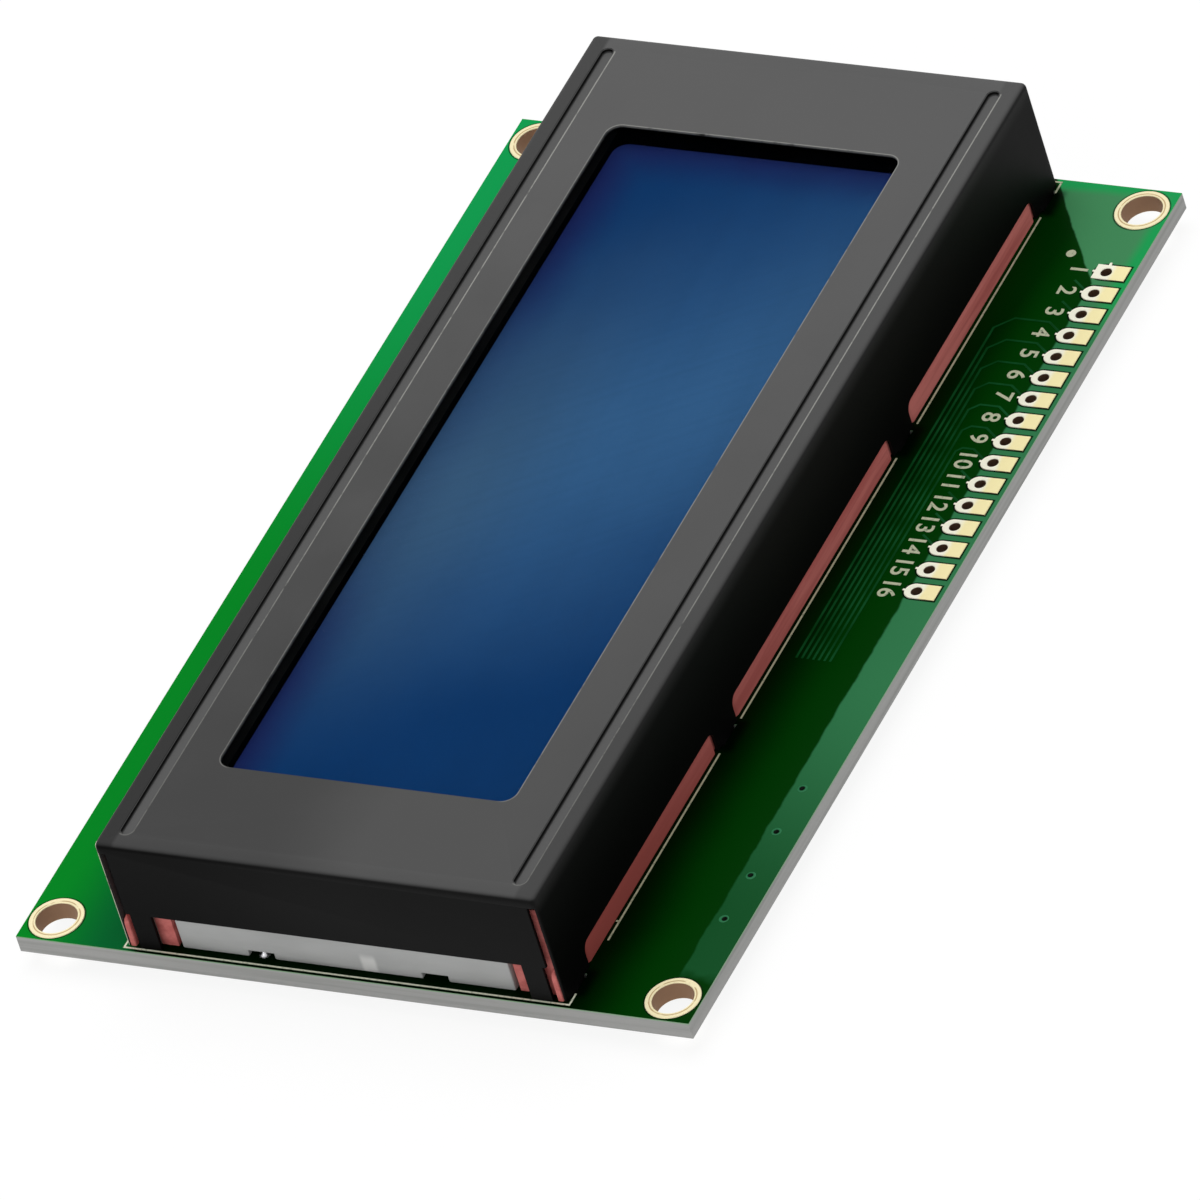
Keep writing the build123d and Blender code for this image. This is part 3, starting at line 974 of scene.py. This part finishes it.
@dataclass
class Surface:
    """Points, in millimetres, and the faces between them."""

    points: np.ndarray
    faces: list[tuple[int, ...]]

    @staticmethod
    def rings(rings: np.ndarray, close_rows: bool = False, caps: bool = False) -> "Surface":
        """A surface through closed rings of points.

        Args:
            rings: an array of rings by points by three.
            close_rows: whether the last ring joins the first.
            caps: whether the first and the last ring are each filled by one face.
        """
        rows, columns = rings.shape[:2]
        faces = [tuple(face) for face in grid_faces(rows, columns, close_rows).tolist()]
        if caps:
            faces.append(tuple(range(columns))[::-1])
            faces.append(tuple(range((rows - 1) * columns, rows * columns)))
        return Surface(rings.reshape(-1, 3), faces)

    @staticmethod
    def joined(surfaces: Iterable["Surface"]) -> "Surface":
        """Several surfaces as one."""
        points, faces, start = [], [], 0
        for surface in surfaces:
            points.append(surface.points)
            faces += [tuple(corner + start for corner in face) for face in surface.faces]
            start += len(surface.points)
        return Surface(np.concatenate(points), faces)

    def moved(self, x: float, y: float) -> "Surface":
        """The same surface, shifted along the board."""
        return Surface(self.points + np.array((x, y, 0.0)), self.faces)

    def piece(self, name: str, finish: Finish, slot: str, *stands_for: str) -> None:
        """Makes a Blender object of the surface and attaches it to the body.

        Args:
            name: the object's name.
            finish: its finish.
            slot: not used.
            stands_for: the CAD nodes that it takes the place of.
        """
        mesh = bpy.data.meshes.new(name)
        mesh.from_pydata((self.points * MM).tolist(), [], self.faces)
        with edited(mesh) as work:
            bmesh.ops.recalc_face_normals(work, faces=work.faces)
        shade(mesh, finish)
        present(placed(name, mesh), slot, *stands_for)


def turned(profile: Sequence[Point] | np.ndarray, segments: int) -> Surface:
    """A profile turned round an upright axis, closed by a flat face at each end.

    Args:
        profile: pairs of radius and height; the point at angle a is (r cos a, r sin a, h).
        segments: points in each ring.
    """
    radius, height = np.array(profile).T[..., None]
    angle = np.linspace(0.0, math.tau, segments, endpoint=False)
    return Surface.rings(spread(radius * np.cos(angle), radius * np.sin(angle), height), caps=True)


def bar_along(path: Sequence[Point], width: float, low: float, high: float) -> Surface:
    """A flat bar along a path on the board, with mitred corners.

    Each point is moved to both sides along the mean of its neighbours' side directions, by half
    the width divided by the cosine of half the turn.

    Args:
        path: the points of its middle line.
        width: its width.
        low, high: its lower and upper level.
    """
    points = np.array(path, float)
    runs = np.diff(points, axis=0)
    runs /= np.linalg.norm(runs, axis=1, keepdims=True)
    sides = np.stack([-runs[:, 1], runs[:, 0]], axis=-1)
    before = np.vstack([sides[:1], sides])
    after = np.vstack([sides, sides[-1:]])
    mean = before + after
    mean /= np.linalg.norm(mean, axis=1, keepdims=True)
    mitre = mean / np.sum(mean * after, axis=1, keepdims=True) * width / 2
    left, right = points + mitre, points - mitre
    section = [(left, low), (left, high), (right, high), (right, low)]
    rings = [spread(*side.T, level) for side, level in section]
    return Surface.rings(np.stack(rings, axis=1), caps=True)


def present(piece: bpy.types.Object, slot: str, *stands_for: str) -> None:
    """Attaches a new piece to the body and hides the CAD nodes that it stands for."""
    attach(piece, BODY)
    if stands_for:
        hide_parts(*stands_for)
    LOG.info("%s: %d faces", piece.name, len(piece.data.polygons))


def dress(finish: Finish, *nodes: str) -> None:
    """Gives CAD nodes their finish."""
    for node in nodes:
        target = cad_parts[node]
        if not target.material_slots:
            target.data.materials.append(None)
        for slot in target.material_slots:
            slot.material = finish.material()
        LOG.info("%s: %s", node, type(finish).__name__)


def eased(node: str, name: str, finish: Finish, width: float) -> bpy.types.Object:
    """A copy of a CAD node with its loose triangles joined and its edges eased.

    Args:
        node: the CAD node.
        name: the new object's name.
        finish: its finish.
        width: the width of the eased edges, in millimetres.
    """
    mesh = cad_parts[node].data.copy()
    mesh.name = name
    mesh.materials.clear()
    with edited(mesh) as work:
        bmesh.ops.remove_doubles(work, verts=work.verts, dist=SAME_POINT)
        bmesh.ops.dissolve_limit(work, angle_limit=FLAT_TURN, verts=work.verts, edges=work.edges)
    shade(mesh, finish)
    piece = placed(name, mesh)
    edges = piece.modifiers.new("eased edges", "BEVEL")
    edges.width = width * MM
    edges.segments = 2
    edges.limit_method = "ANGLE"
    edges.angle_limit = EASED_TURN
    edges.use_clamp_overlap = True
    edges.harden_normals = True
    weld = piece.modifiers.new("welded points", "WELD")
    weld.merge_threshold = WELDED_POINT
    return piece


# The board and what is printed and plated on it


@dataclass
class PlatedHoles:
    """The mounting holes' rings and the header holes' pads, with their plated walls."""

    mount_inset: float = 2.5
    mount_radius: float = 1.75
    mount_land: float = 2.3
    pin_count: int = 16
    pin_pitch: float = 2.54
    first_pin: float = 10.0
    pin_row: float = 2.4
    pin_radius: float = 0.5
    pad_width: float = 1.7
    pad_inner: float = 1.05
    pad_outer: float = 1.9
    nub_half: float = 0.12
    nub_reach: float = 1.24
    nub_root: float = 0.1
    side_nub: float = 0.3
    back_land: float = 0.85
    wall: float = 0.03
    plating: float = 0.05
    ring_ease: float = 0.04
    pad_ease: float = 0.03
    ring_points: int = 96
    pad_points: int = 160
    low: np.ndarray = field(default_factory=lambda: extent("circuit_board")[0])
    high: np.ndarray = field(default_factory=lambda: extent("circuit_board")[1])

    def pin_places(self) -> list[Point]:
        """The middles of the header holes."""
        start, row = self.low[0] + self.first_pin, self.high[1] - self.pin_row
        return [(start + number * self.pin_pitch, row) for number in range(self.pin_count)]

    def mount_places(self) -> list[Point]:
        """The middles of the mounting holes."""
        return list(product(*zip(self.low[:2] + self.mount_inset, self.high[:2] - self.mount_inset)))

    def plated(
        self, angle: np.ndarray, outline: np.ndarray | float, land: float, radius: float, ease: float
    ) -> Surface:
        """Plating round a hole: a land above and one below, and the wall between them.

        Args:
            angle: the directions of the points in each ring.
            outline: how far the upper land reaches in those directions.
            land: how far the lower land reaches.
            radius: of the hole.
            ease: how far the lands' edges slope.
        """
        inner = radius - self.wall
        top, base = self.high[2], self.low[2]
        over, under = top + self.plating, base - self.plating
        stack = [
            (outline, top),
            (outline - ease, over),
            (inner + self.ring_ease, over),
            (inner, top),
            (inner, base),
            (inner + self.ring_ease, under),
            (land - ease, under),
            (land, base),
            (radius, base),
            (radius, top),
        ]
        rings = [spread(reach * np.cos(angle), reach * np.sin(angle), level) for reach, level in stack]
        return Surface.rings(np.stack(rings), close_rows=True)

    def ring(self) -> Surface:
        """A mounting hole's plating."""
        angle = np.linspace(0.0, math.tau, self.ring_points, endpoint=False)
        return self.plated(angle, self.mount_land, self.mount_land, self.mount_radius, self.ring_ease)

    def pad_reach(self, angle: np.ndarray, square: bool) -> np.ndarray:
        """How far a pad reaches from its hole's middle in each direction.

        A box reaches as far as its nearest wall along the ray, a disc as far as the ray's second
        meeting with it, and the pad as far as the farthest of its boxes and disc.
        """
        across, towards = np.cos(angle), np.sin(angle)

        def box_reach(half: float, inner: float, outer: float) -> np.ndarray:
            """The reach of a box that holds the middle."""
            sideways = half / np.maximum(np.abs(across), 1e-9)
            lengthways = np.where(towards > 0, outer, inner) / np.maximum(np.abs(towards), 1e-9)
            return np.minimum(sideways, lengthways)

        half = self.pad_width / 2
        nub = box_reach(self.nub_half, self.nub_reach, self.nub_root)
        if square:
            bar = box_reach(half, self.pad_inner, self.pad_outer)
            nubs = np.maximum(nub, box_reach(half + self.side_nub, self.nub_half, self.nub_half))
            return np.maximum(bar, np.where(across > 0.2, 0.0, nubs))
        shift = self.pad_inner - half
        drop = shift * towards
        disc = -drop + np.sqrt(drop**2 + half**2 - shift**2)
        bar = box_reach(half, shift, self.pad_outer)
        return np.maximum(np.maximum(disc, bar), nub)

    def pad(self, square: bool) -> Surface:
        """A header pad with its plated wall and the round land below."""
        half = self.pad_width / 2
        corners = np.arctan2(self.pad_outer, np.array((half, -half)))
        angle = np.linspace(-math.pi, math.pi, self.pad_points, endpoint=False)
        angle = np.unique(np.concatenate([angle, corners]))
        outline = self.pad_reach(angle, square)
        return self.plated(angle, outline, self.back_land, self.pin_radius, self.pad_ease)

    def build(self) -> None:
        """Makes the four rings and the sixteen pads."""
        rings = [self.ring().moved(*place) for place in self.mount_places()]
        Surface.joined(rings).piece("mounting_hole_plating", GoldPlate(), "gold_plate", "mounting_hole_lands")
        pads = [self.pad(number == 0).moved(*place) for number, place in enumerate(self.pin_places())]
        Surface.joined(pads).piece("header_hole_plating", GoldPlate(), "gold_plate", "header_pads")


@dataclass
class Markings:
    """Ink on the board: the frame's outline, a dot and plain numbers for the pins."""

    holes: PlatedHoles
    line: float = 0.16
    ink: float = 0.02
    letter_swell: float = 0.03
    outline_x: float = 48.65
    outline_low_y: float = -20.37
    outline_high_y: float = 19.33
    end_reach: float = 1.3
    far_reach: float = 1.7
    header_runs: tuple[Point, ...] = ((-44.4, -19.5), (-15.4, 15.4), (19.5, 41.2))
    tick_x: float = 39.0
    tick: float = 0.3
    number_y: float = 25.1
    number_size: float = 2.208
    dot: Point = (-40.7, 23.7)
    dot_radius: float = 0.42

    def outline(self) -> Surface:
        """The lines round the frame, with a gap at each leg and a small tick near one end."""
        level = self.holes.high[2]
        x, low, high = self.outline_x, self.outline_low_y, self.outline_high_y
        inner, left, right = x - self.end_reach, self.far_reach - x, x - self.far_reach
        paths = [
            [(inner, low), (x, low), (x, high), (inner, high)],
            [(-inner, low), (-x, low), (-x, high), (-inner, high)],
            [(left, low), (right, low)],
            *([(start, high), (end, high)] for start, end in self.header_runs),
            [(self.tick_x, high), (self.tick_x, high - self.tick)],
        ]
        return Surface.joined(bar_along(path, self.line, level, level + self.ink) for path in paths)

    def letters(self, number: int, x: float) -> bpy.types.Mesh:
        """One number as flat letters beside its pin."""
        curve = bpy.data.curves.new("number", "FONT")
        curve.body = str(number)
        curve.size = self.number_size * MM
        curve.align_x = curve.align_y = "CENTER"
        curve.extrude = self.ink / 2 * MM
        curve.offset = self.letter_swell * MM
        letter = placed("number", curve)
        bpy.context.view_layer.update()
        drawn = letter.evaluated_get(bpy.context.evaluated_depsgraph_get())
        mesh = bpy.data.meshes.new_from_object(drawn)
        level = self.holes.high[2] + self.ink / 2
        mesh.transform(Matrix.Translation(Vector((x, self.number_y, level)) * MM))
        bpy.data.objects.remove(letter)
        return mesh

    def numbers(self) -> None:
        """Makes the numbers 1 to 16 beside the pins, as one mesh with clean flat faces."""
        mesh = bpy.data.meshes.new("pin_numbers")
        with edited(mesh) as work:
            for number, (x, _) in enumerate(self.holes.pin_places(), 1):
                letters = self.letters(number, x)
                work.from_mesh(letters)
                bpy.data.meshes.remove(letters)
            bmesh.ops.remove_doubles(work, verts=work.verts, dist=SAME_POINT / 2)
            bmesh.ops.dissolve_limit(work, angle_limit=FLAT_TURN / 2, verts=work.verts, edges=work.edges)
            bmesh.ops.holes_fill(work, edges=work.edges, sides=4)
            bmesh.ops.triangulate(work, faces=work.faces, ngon_method="BEAUTY")
        mesh.materials.append(SilkInk().material())
        present(placed("pin_numbers", mesh), "board_green")

    def build(self) -> None:
        """Makes the outline, the dot and the numbers."""
        level = self.holes.high[2]
        dot = turned([(self.dot_radius, level), (self.dot_radius, level + self.ink)], 32).moved(*self.dot)
        Surface.joined([self.outline(), dot]).piece("silk_lines", SilkInk(), "board_green")
        self.numbers()


@dataclass
class CopperLines:
    """Copper lines that lift the solder mask beside the header row, and small filled holes."""

    holes: PlatedHoles
    width: float = 0.2
    rise: float = 0.02
    stub: float = 1.3
    stub_shift: float = 0.3
    stub_slant: float = 0.75
    lane_slant: float = 0.3
    via_radius: float = 0.42
    via_rim: float = 0.035
    via_dip: float = 0.02
    via_foot: float = 0.012
    bus_low_y: float = 20.9
    bus_step: float = 0.5
    bus_end_x: float = 8.0
    bus_pins: range = range(3, 10)
    stub_pins: range = range(1, 14)
    via_places: tuple[Point, ...] = ((22.2, 27.9), (27.2, 27.85), (32.3, 27.9), (37.3, 27.8))

    def pin_line(self, number: int, x: float) -> list[Point]:
        """The line from a pin: aslant inwards, then, in the bus, along a lane of its own."""
        start = self.holes.high[1] - self.holes.pin_row - self.holes.pad_inner + 0.1
        x -= self.stub_shift
        path = [(x, start), (x - self.stub * self.stub_slant, start - self.stub)]
        if number in self.bus_pins:
            lane = self.bus_low_y + (number - self.bus_pins.start) * self.bus_step
            end = path[-1][0]
            aslant = (path[-1][1] - lane) * self.lane_slant
            path += [(end, lane + aslant), (end + aslant, lane), (self.bus_end_x, lane)]
        return path

    def via(self) -> Surface:
        """A filled hole: a low ring with a dip, its height a wave of the radius."""
        radius = np.linspace(self.via_radius, 0.04, 14)
        share = radius / self.via_radius
        height = self.via_rim * np.sin(math.pi * share) - self.via_dip * (1 - share) + self.via_foot
        return turned(np.column_stack([radius, self.holes.high[2] + np.maximum(height, 0.001)]), 32)

    def build(self) -> None:
        """Makes the lines and the filled holes."""
        level = self.holes.high[2]
        lines = [
            bar_along(self.pin_line(number, x), self.width, level, level + self.rise)
            for number, (x, _) in enumerate(self.holes.pin_places())
            if number in self.stub_pins
        ]
        Surface.joined(lines).piece("masked_copper_lines", MaskedCopper(), "board_green")
        vias = [self.via().moved(*place) for place in self.via_places]
        Surface.joined(vias).piece("filled_vias", MaskedCopper(), "board_green")


@dataclass
class FoldedFrame:
    """The black steel frame, with eased edges that catch the light."""

    edge: float = 0.09

    def build(self) -> None:
        """Makes the eased frame."""
        present(eased("bezel", "folded_frame", CoatedSteel(), self.edge), "frame_black", "bezel")


@dataclass
class DisplayCell:
    """The glass cell and its films."""

    def build(self) -> None:
        """Dresses the films, the glasses and the glue."""
        dress(DisplayFilm(), "front_polariser", "rear_polariser")
        dress(CellGlass(), "front_glass", "rear_glass")
        dress(DisplayField(), "liquid_crystal")
        dress(CuredGlue(), "cell_seal", "filling_port_plug")


class Side(Enum):
    """The two long sides of the frame."""

    HEADER = ("header_side", 1)
    FAR = ("far_side", -1)


@dataclass
class ContactStrips:
    """The pink strips that join the cell to the board, swollen out between the frame's legs."""

    bulge: float = 0.28
    openings: tuple[Point, ...] = ((-44.2, -19.2), (-15.6, 15.6), (19.2, 44.2))
    opening_height: float = 2.2
    step_width: float = 0.5
    steps: int = 480
    levels: int = 24
    lip_half: float = 0.27
    lip_inset: float = 0.2
    lip_start: float = 0.3
    lip_end: float = 0.08
    lip_height: float = 3.0
    lip_power: float = 0.4

    def swell(self, x: np.ndarray, z: np.ndarray) -> np.ndarray:
        """How far the outer face stands out: a smooth hump over each opening of the wall.

        Each hump is the product of smooth steps s = t * t * (3 - 2 t) from the opening's two ends
        and its upper edge, with t clipped to 0 to 1 over the step's width.
        """
        def step(distance: np.ndarray) -> np.ndarray:
            """The smooth step."""
            t = np.clip(distance / self.step_width, 0.0, 1.0)
            return t * t * (3 - 2 * t)

        humps = sum(step(x - start) * step(end - x) for start, end in self.openings)
        return self.bulge * humps * step(self.opening_height + 0.1 - z)

    def wall(self, side: Side, inner: bool) -> Surface:
        """One silicone wall: rings of points round its section, from end to end.

        Args:
            side: the long side that it stands on.
            inner: whether it is the wall towards the backlight, which stays flat.
        """
        key, sign = side.value
        low, high = extent(f"zebra_walls_{key}")
        core_low, core_high = extent(f"zebra_core_{key}")
        out, far_in = (high[1], low[1])[::sign]
        core_out, core_in = (core_high[1], core_low[1])[::sign]
        near, far = (far_in, core_in) if inner else (core_out, out)
        x = np.linspace(low[0], high[0], self.steps)[:, None]
        z = np.linspace(low[2], high[2], self.levels)
        shift = 0.0 if inner else sign * self.swell(x, z - low[2])
        outer, inward = spread(x, far + shift, z), spread(x, near, z)
        return Surface.rings(np.concatenate([outer, inward[:, ::-1]], axis=1), caps=True)

    def lip(self, side: Side, end: int) -> Surface:
        """Silicone squeezed into a corner slit of the frame: upright rings that shrink at the top.

        Each ring is a rounded box: its points are (sign(c) |c|^p, sign(s) |s|^p) for the cosine c,
        the sine s and the power p, scaled by its half sizes, and by the square root of one less t
        to the power 8 for the share t of the height.

        Args:
            side: the long side that the strip stands on.
            end: 1 for the near end and -1 for the far one.
        """
        key, sign = side.value
        low, high = extent(f"zebra_walls_{key}")
        centre_y = (high[1], low[1])[::sign][0] - sign * self.lip_inset
        inner_x, outer_x = high[0] - self.lip_start, extent("bezel")[1][0] - self.lip_end
        share = np.linspace(0.0, 0.995, 12)[:, None]
        angle = np.linspace(0.0, math.tau, 40, endpoint=False)
        shrink = np.sqrt(1.0 - share**8)
        turns = np.cos(angle), np.sin(angle)
        across, along = (np.sign(turn) * np.abs(turn) ** self.lip_power * shrink for turn in turns)
        x = end * ((inner_x + outer_x) / 2 + across * (outer_x - inner_x) / 2)
        z = low[2] + share * self.lip_height
        return Surface.rings(spread(x, centre_y + along * self.lip_half, z), caps=True)

    def build(self) -> None:
        """Makes the strips' walls and dresses their cores and the contacts under them."""
        for side in Side:
            key = side.value[0]
            shapes = [self.wall(side, inner) for inner in (False, True)]
            walls = Surface.joined(shapes + [self.lip(side, end) for end in (-1, 1)])
            walls.piece(f"silicone_{key}", PinkSilicone(), "zebra_silicone", f"zebra_walls_{key}")
            dress(LayeredConductor(), f"zebra_core_{key}")
        dress(GoldPlate(), "contact_fingers")


@dataclass
class Backlight:
    """The white tray with its light guide, lamps and leads."""

    edge: float = 0.12
    bead_radius: float = 0.95
    bead_height: float = 0.5
    neck_radius: float = 0.3
    drop_radius: float = 0.5
    drop_height: float = 0.34
    drop_neck: float = 0.15

    def bead(self, radius: float, height: float, neck: float) -> Surface:
        """A solder bead: its radius falls with the share of its height to the power 0.6.

        Args:
            radius: at its foot.
            height: above the board.
            neck: its radius at the top.
        """
        level = extent("circuit_board")[1][2]
        rise = np.linspace(0.0, 1.0, 14)
        widths = radius + (neck - radius) * rise**0.6
        return turned(np.column_stack([widths, level + height * rise]), 48)

    def build(self) -> None:
        """Makes the eased tray and the solder beads, and dresses the rest."""
        tray = eased("backlight_case", "backlight_tray", MouldedWhite(), self.edge)
        present(tray, "backlight_white", "backlight_case")
        low, high = extent("lead_solder")
        x = (low[0] + high[0]) / 2
        places = [(x, low[1] + self.bead_radius), (x, high[1] - self.bead_radius)]
        bead = self.bead(self.bead_radius, self.bead_height, self.neck_radius)
        drop = self.bead(self.drop_radius, self.drop_height, self.drop_neck)
        mouth = extent("backlight_case")[1][0] - self.drop_radius
        beads = [*(bead.moved(*place) for place in places), drop.moved(mouth, places[0][1])]
        Surface.joined(beads).piece("solder_beads", TinnedMetal(), "tinned_metal", "lead_solder")
        dress(ClearAcrylic(), "diffuser_film", "light_guide")
        dress(MouldedWhite(), "reflector_film")
        dress(MaskedLaminate(), "led_board")
        dress(LampPhosphor(), "backlight_leds")
        dress(TinnedMetal(), "backlight_leads")


@dataclass
class BackParts:
    """Chips under resin and small surface parts below the board."""

    rings: int = 28
    segments: int = 96

    def dome(self, radius: float, low: float, high: float, phase: float) -> Surface:
        """A resin dome that hangs from the board.

        Its depth is the drop times the square root of one less the cube of the share of the
        radius, and its outline swells and shrinks a little with the angle.

        Args:
            radius: its outline's mean radius.
            low, high: its lowest level and the board's underside.
            phase: turns the uneven outline, in radians.
        """
        share = np.sin(np.linspace(1.0, 0.02, self.rings) * math.pi / 2)[:, None]
        angle = np.linspace(0.0, math.tau, self.segments, endpoint=False)
        outline = radius * (0.985 + 0.01 * np.cos(2 * angle + phase) + 0.005 * np.cos(5 * angle - phase))
        depth = (high - low) * np.sqrt(np.maximum(1 - share**3, 0.0))
        rings = spread(outline * share * np.cos(angle), outline * share * np.sin(angle), high - depth)
        return Surface.rings(rings, caps=True)

    def build(self) -> None:
        """Makes the domes and dresses the small parts."""
        low, high = extent("controller_blob")
        middle = (low + high) / 2
        dome = self.dome((high[0] - low[0]) / 2, low[2], high[2], 0.7).moved(middle[0], middle[1])
        dome.piece("controller_dome", PottingResin(), "resin_black", "controller_blob")
        low, high = extent("driver_blobs")
        radius = (high[1] - low[1]) / 2
        domes = [
            self.dome(radius, low[2], high[2], 2.0 + side).moved(x, (low[1] + high[1]) / 2)
            for side, x in enumerate((low[0] + radius, high[0] - radius))
        ]
        Surface.joined(domes).piece("driver_domes", PottingResin(), "resin_black", "driver_blobs")
        dress(GlazedBlack(), "resistor_bodies")
        dress(TanCeramic(), "capacitor_bodies")
        dress(TinnedMetal(), "resistor_ends", "capacitor_ends")


# The studio


@dataclass
class Studio:
    """The pale floor, the soft light and the camera at the photograph's angle."""

    ambient: float = 0.42
    floor_share: float = 0.86
    floor_glow: float = 1.05
    floor_half: float = 3.0
    eye: tuple[float, float, float] = (1289.03, 947.69, 1310.05)
    ahead: tuple[float, float, float] = (-0.62292, -0.4587, -0.63369)
    right: tuple[float, float, float] = (-0.40556, 0.88205, -0.23981)
    overhead: tuple[float, float, float] = (-0.2, -0.1, 0.8)
    side: tuple[float, float, float] = (0.7, -0.3, 0.35)
    lens: float = 780.0
    sensor: float = 36.0

    def world(self) -> None:
        """White where it is seen, and a plain soft light everywhere."""
        sheet = ShaderSheet(bpy.data.worlds.new("studio"))
        strength = sheet.seen() * (1.0 - self.ambient) + self.ambient
        light = sheet.node("Background", {"Color": WHITE, "Strength": strength})
        sheet.node("OutputWorld", {"Surface": light})
        bpy.context.scene.world = sheet.owner

    def floor(self) -> None:
        """A wide pale floor that keeps a soft shadow."""
        half = self.floor_half
        corners = [(-half, -half, 0.0), (half, -half, 0.0), (half, half, 0.0), (-half, half, 0.0)]
        mesh = bpy.data.meshes.new("floor")
        mesh.from_pydata(corners, [], [(0, 1, 2, 3)])
        sheet = ShaderSheet(bpy.data.materials.new("pale_floor"))
        paint = sheet.paint(Base_Color=(0.94, 0.94, 0.94), Roughness=0.9, Specular_IOR_Level=0.0)
        glow = sheet.node("Emission", {"Color": WHITE, "Strength": self.floor_glow})
        share = sheet.seen() * self.floor_share
        both = sheet.node("MixShader", {0: share, 1: paint, 2: glow})
        sheet.node("OutputMaterial", {"Surface": both})
        mesh.materials.append(sheet.owner)
        placed("floor", mesh)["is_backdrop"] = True

    def lamp(self, name: str, place: tuple[float, float, float], size: float, power: float) -> None:
        """A square soft lamp that faces the object.

        Args:
            name: its name.
            place: where it hangs, in metres.
            size: its side, in metres.
            power: in watts.
        """
        light = bpy.data.lights.new(name, "AREA")
        light.size = size
        light.energy = power
        lamp = placed(name, light)
        lamp.location = place
        lamp.rotation_mode = "QUATERNION"
        lamp.rotation_quaternion = (-Vector(place)).to_track_quat("-Z", "Y")
        lamp.visible_camera = False

    def camera(self) -> None:
        """The camera, nearly parallel, from the fit to the photograph."""
        ahead = Vector(self.ahead).normalized()
        up = Vector(self.right).cross(ahead).normalized()
        right = ahead.cross(up)
        lens = bpy.data.cameras.new("camera")
        lens.lens = self.lens
        lens.sensor_width = self.sensor
        lens.clip_start, lens.clip_end = 0.1, 50.0
        camera = placed("camera", lens)
        turn = Matrix((right, up, -ahead)).transposed().to_4x4()
        camera.matrix_world = Matrix.Translation(Vector(self.eye) * MM) @ turn
        bpy.context.scene.camera = camera

    def build(self) -> None:
        """Sets up the world, the floor, the lamps and the camera."""
        self.camera()
        self.world()
        self.floor()
        self.lamp("overhead_softbox", self.overhead, 0.6, 3.0)
        self.lamp("side_fill", self.side, 0.4, 0.6)
        bpy.context.scene.view_settings.view_transform = "Standard"


def corners(box: tuple[Vector, Vector]) -> list[list[float]]:
    """A box's two corners as plain lists."""
    return [list(corner) for corner in box]


def main() -> None:
    """Builds each sub-assembly in order."""
    logging.basicConfig(level=logging.INFO, format="%(name)s %(message)s")
    cad_box = corners(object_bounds())
    dress(MaskedLaminate(), "circuit_board")
    holes = PlatedHoles()
    for assembly in (
        Studio(),
        holes,
        Markings(holes),
        CopperLines(holes),
        FoldedFrame(),
        DisplayCell(),
        ContactStrips(),
        Backlight(),
        BackParts(),
    ):
        LOG.info("building %s", type(assembly).__name__)
        assembly.build()
    {"cad": cad_box, "visual": corners(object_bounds())}


if __name__ == "__main__":
    main()
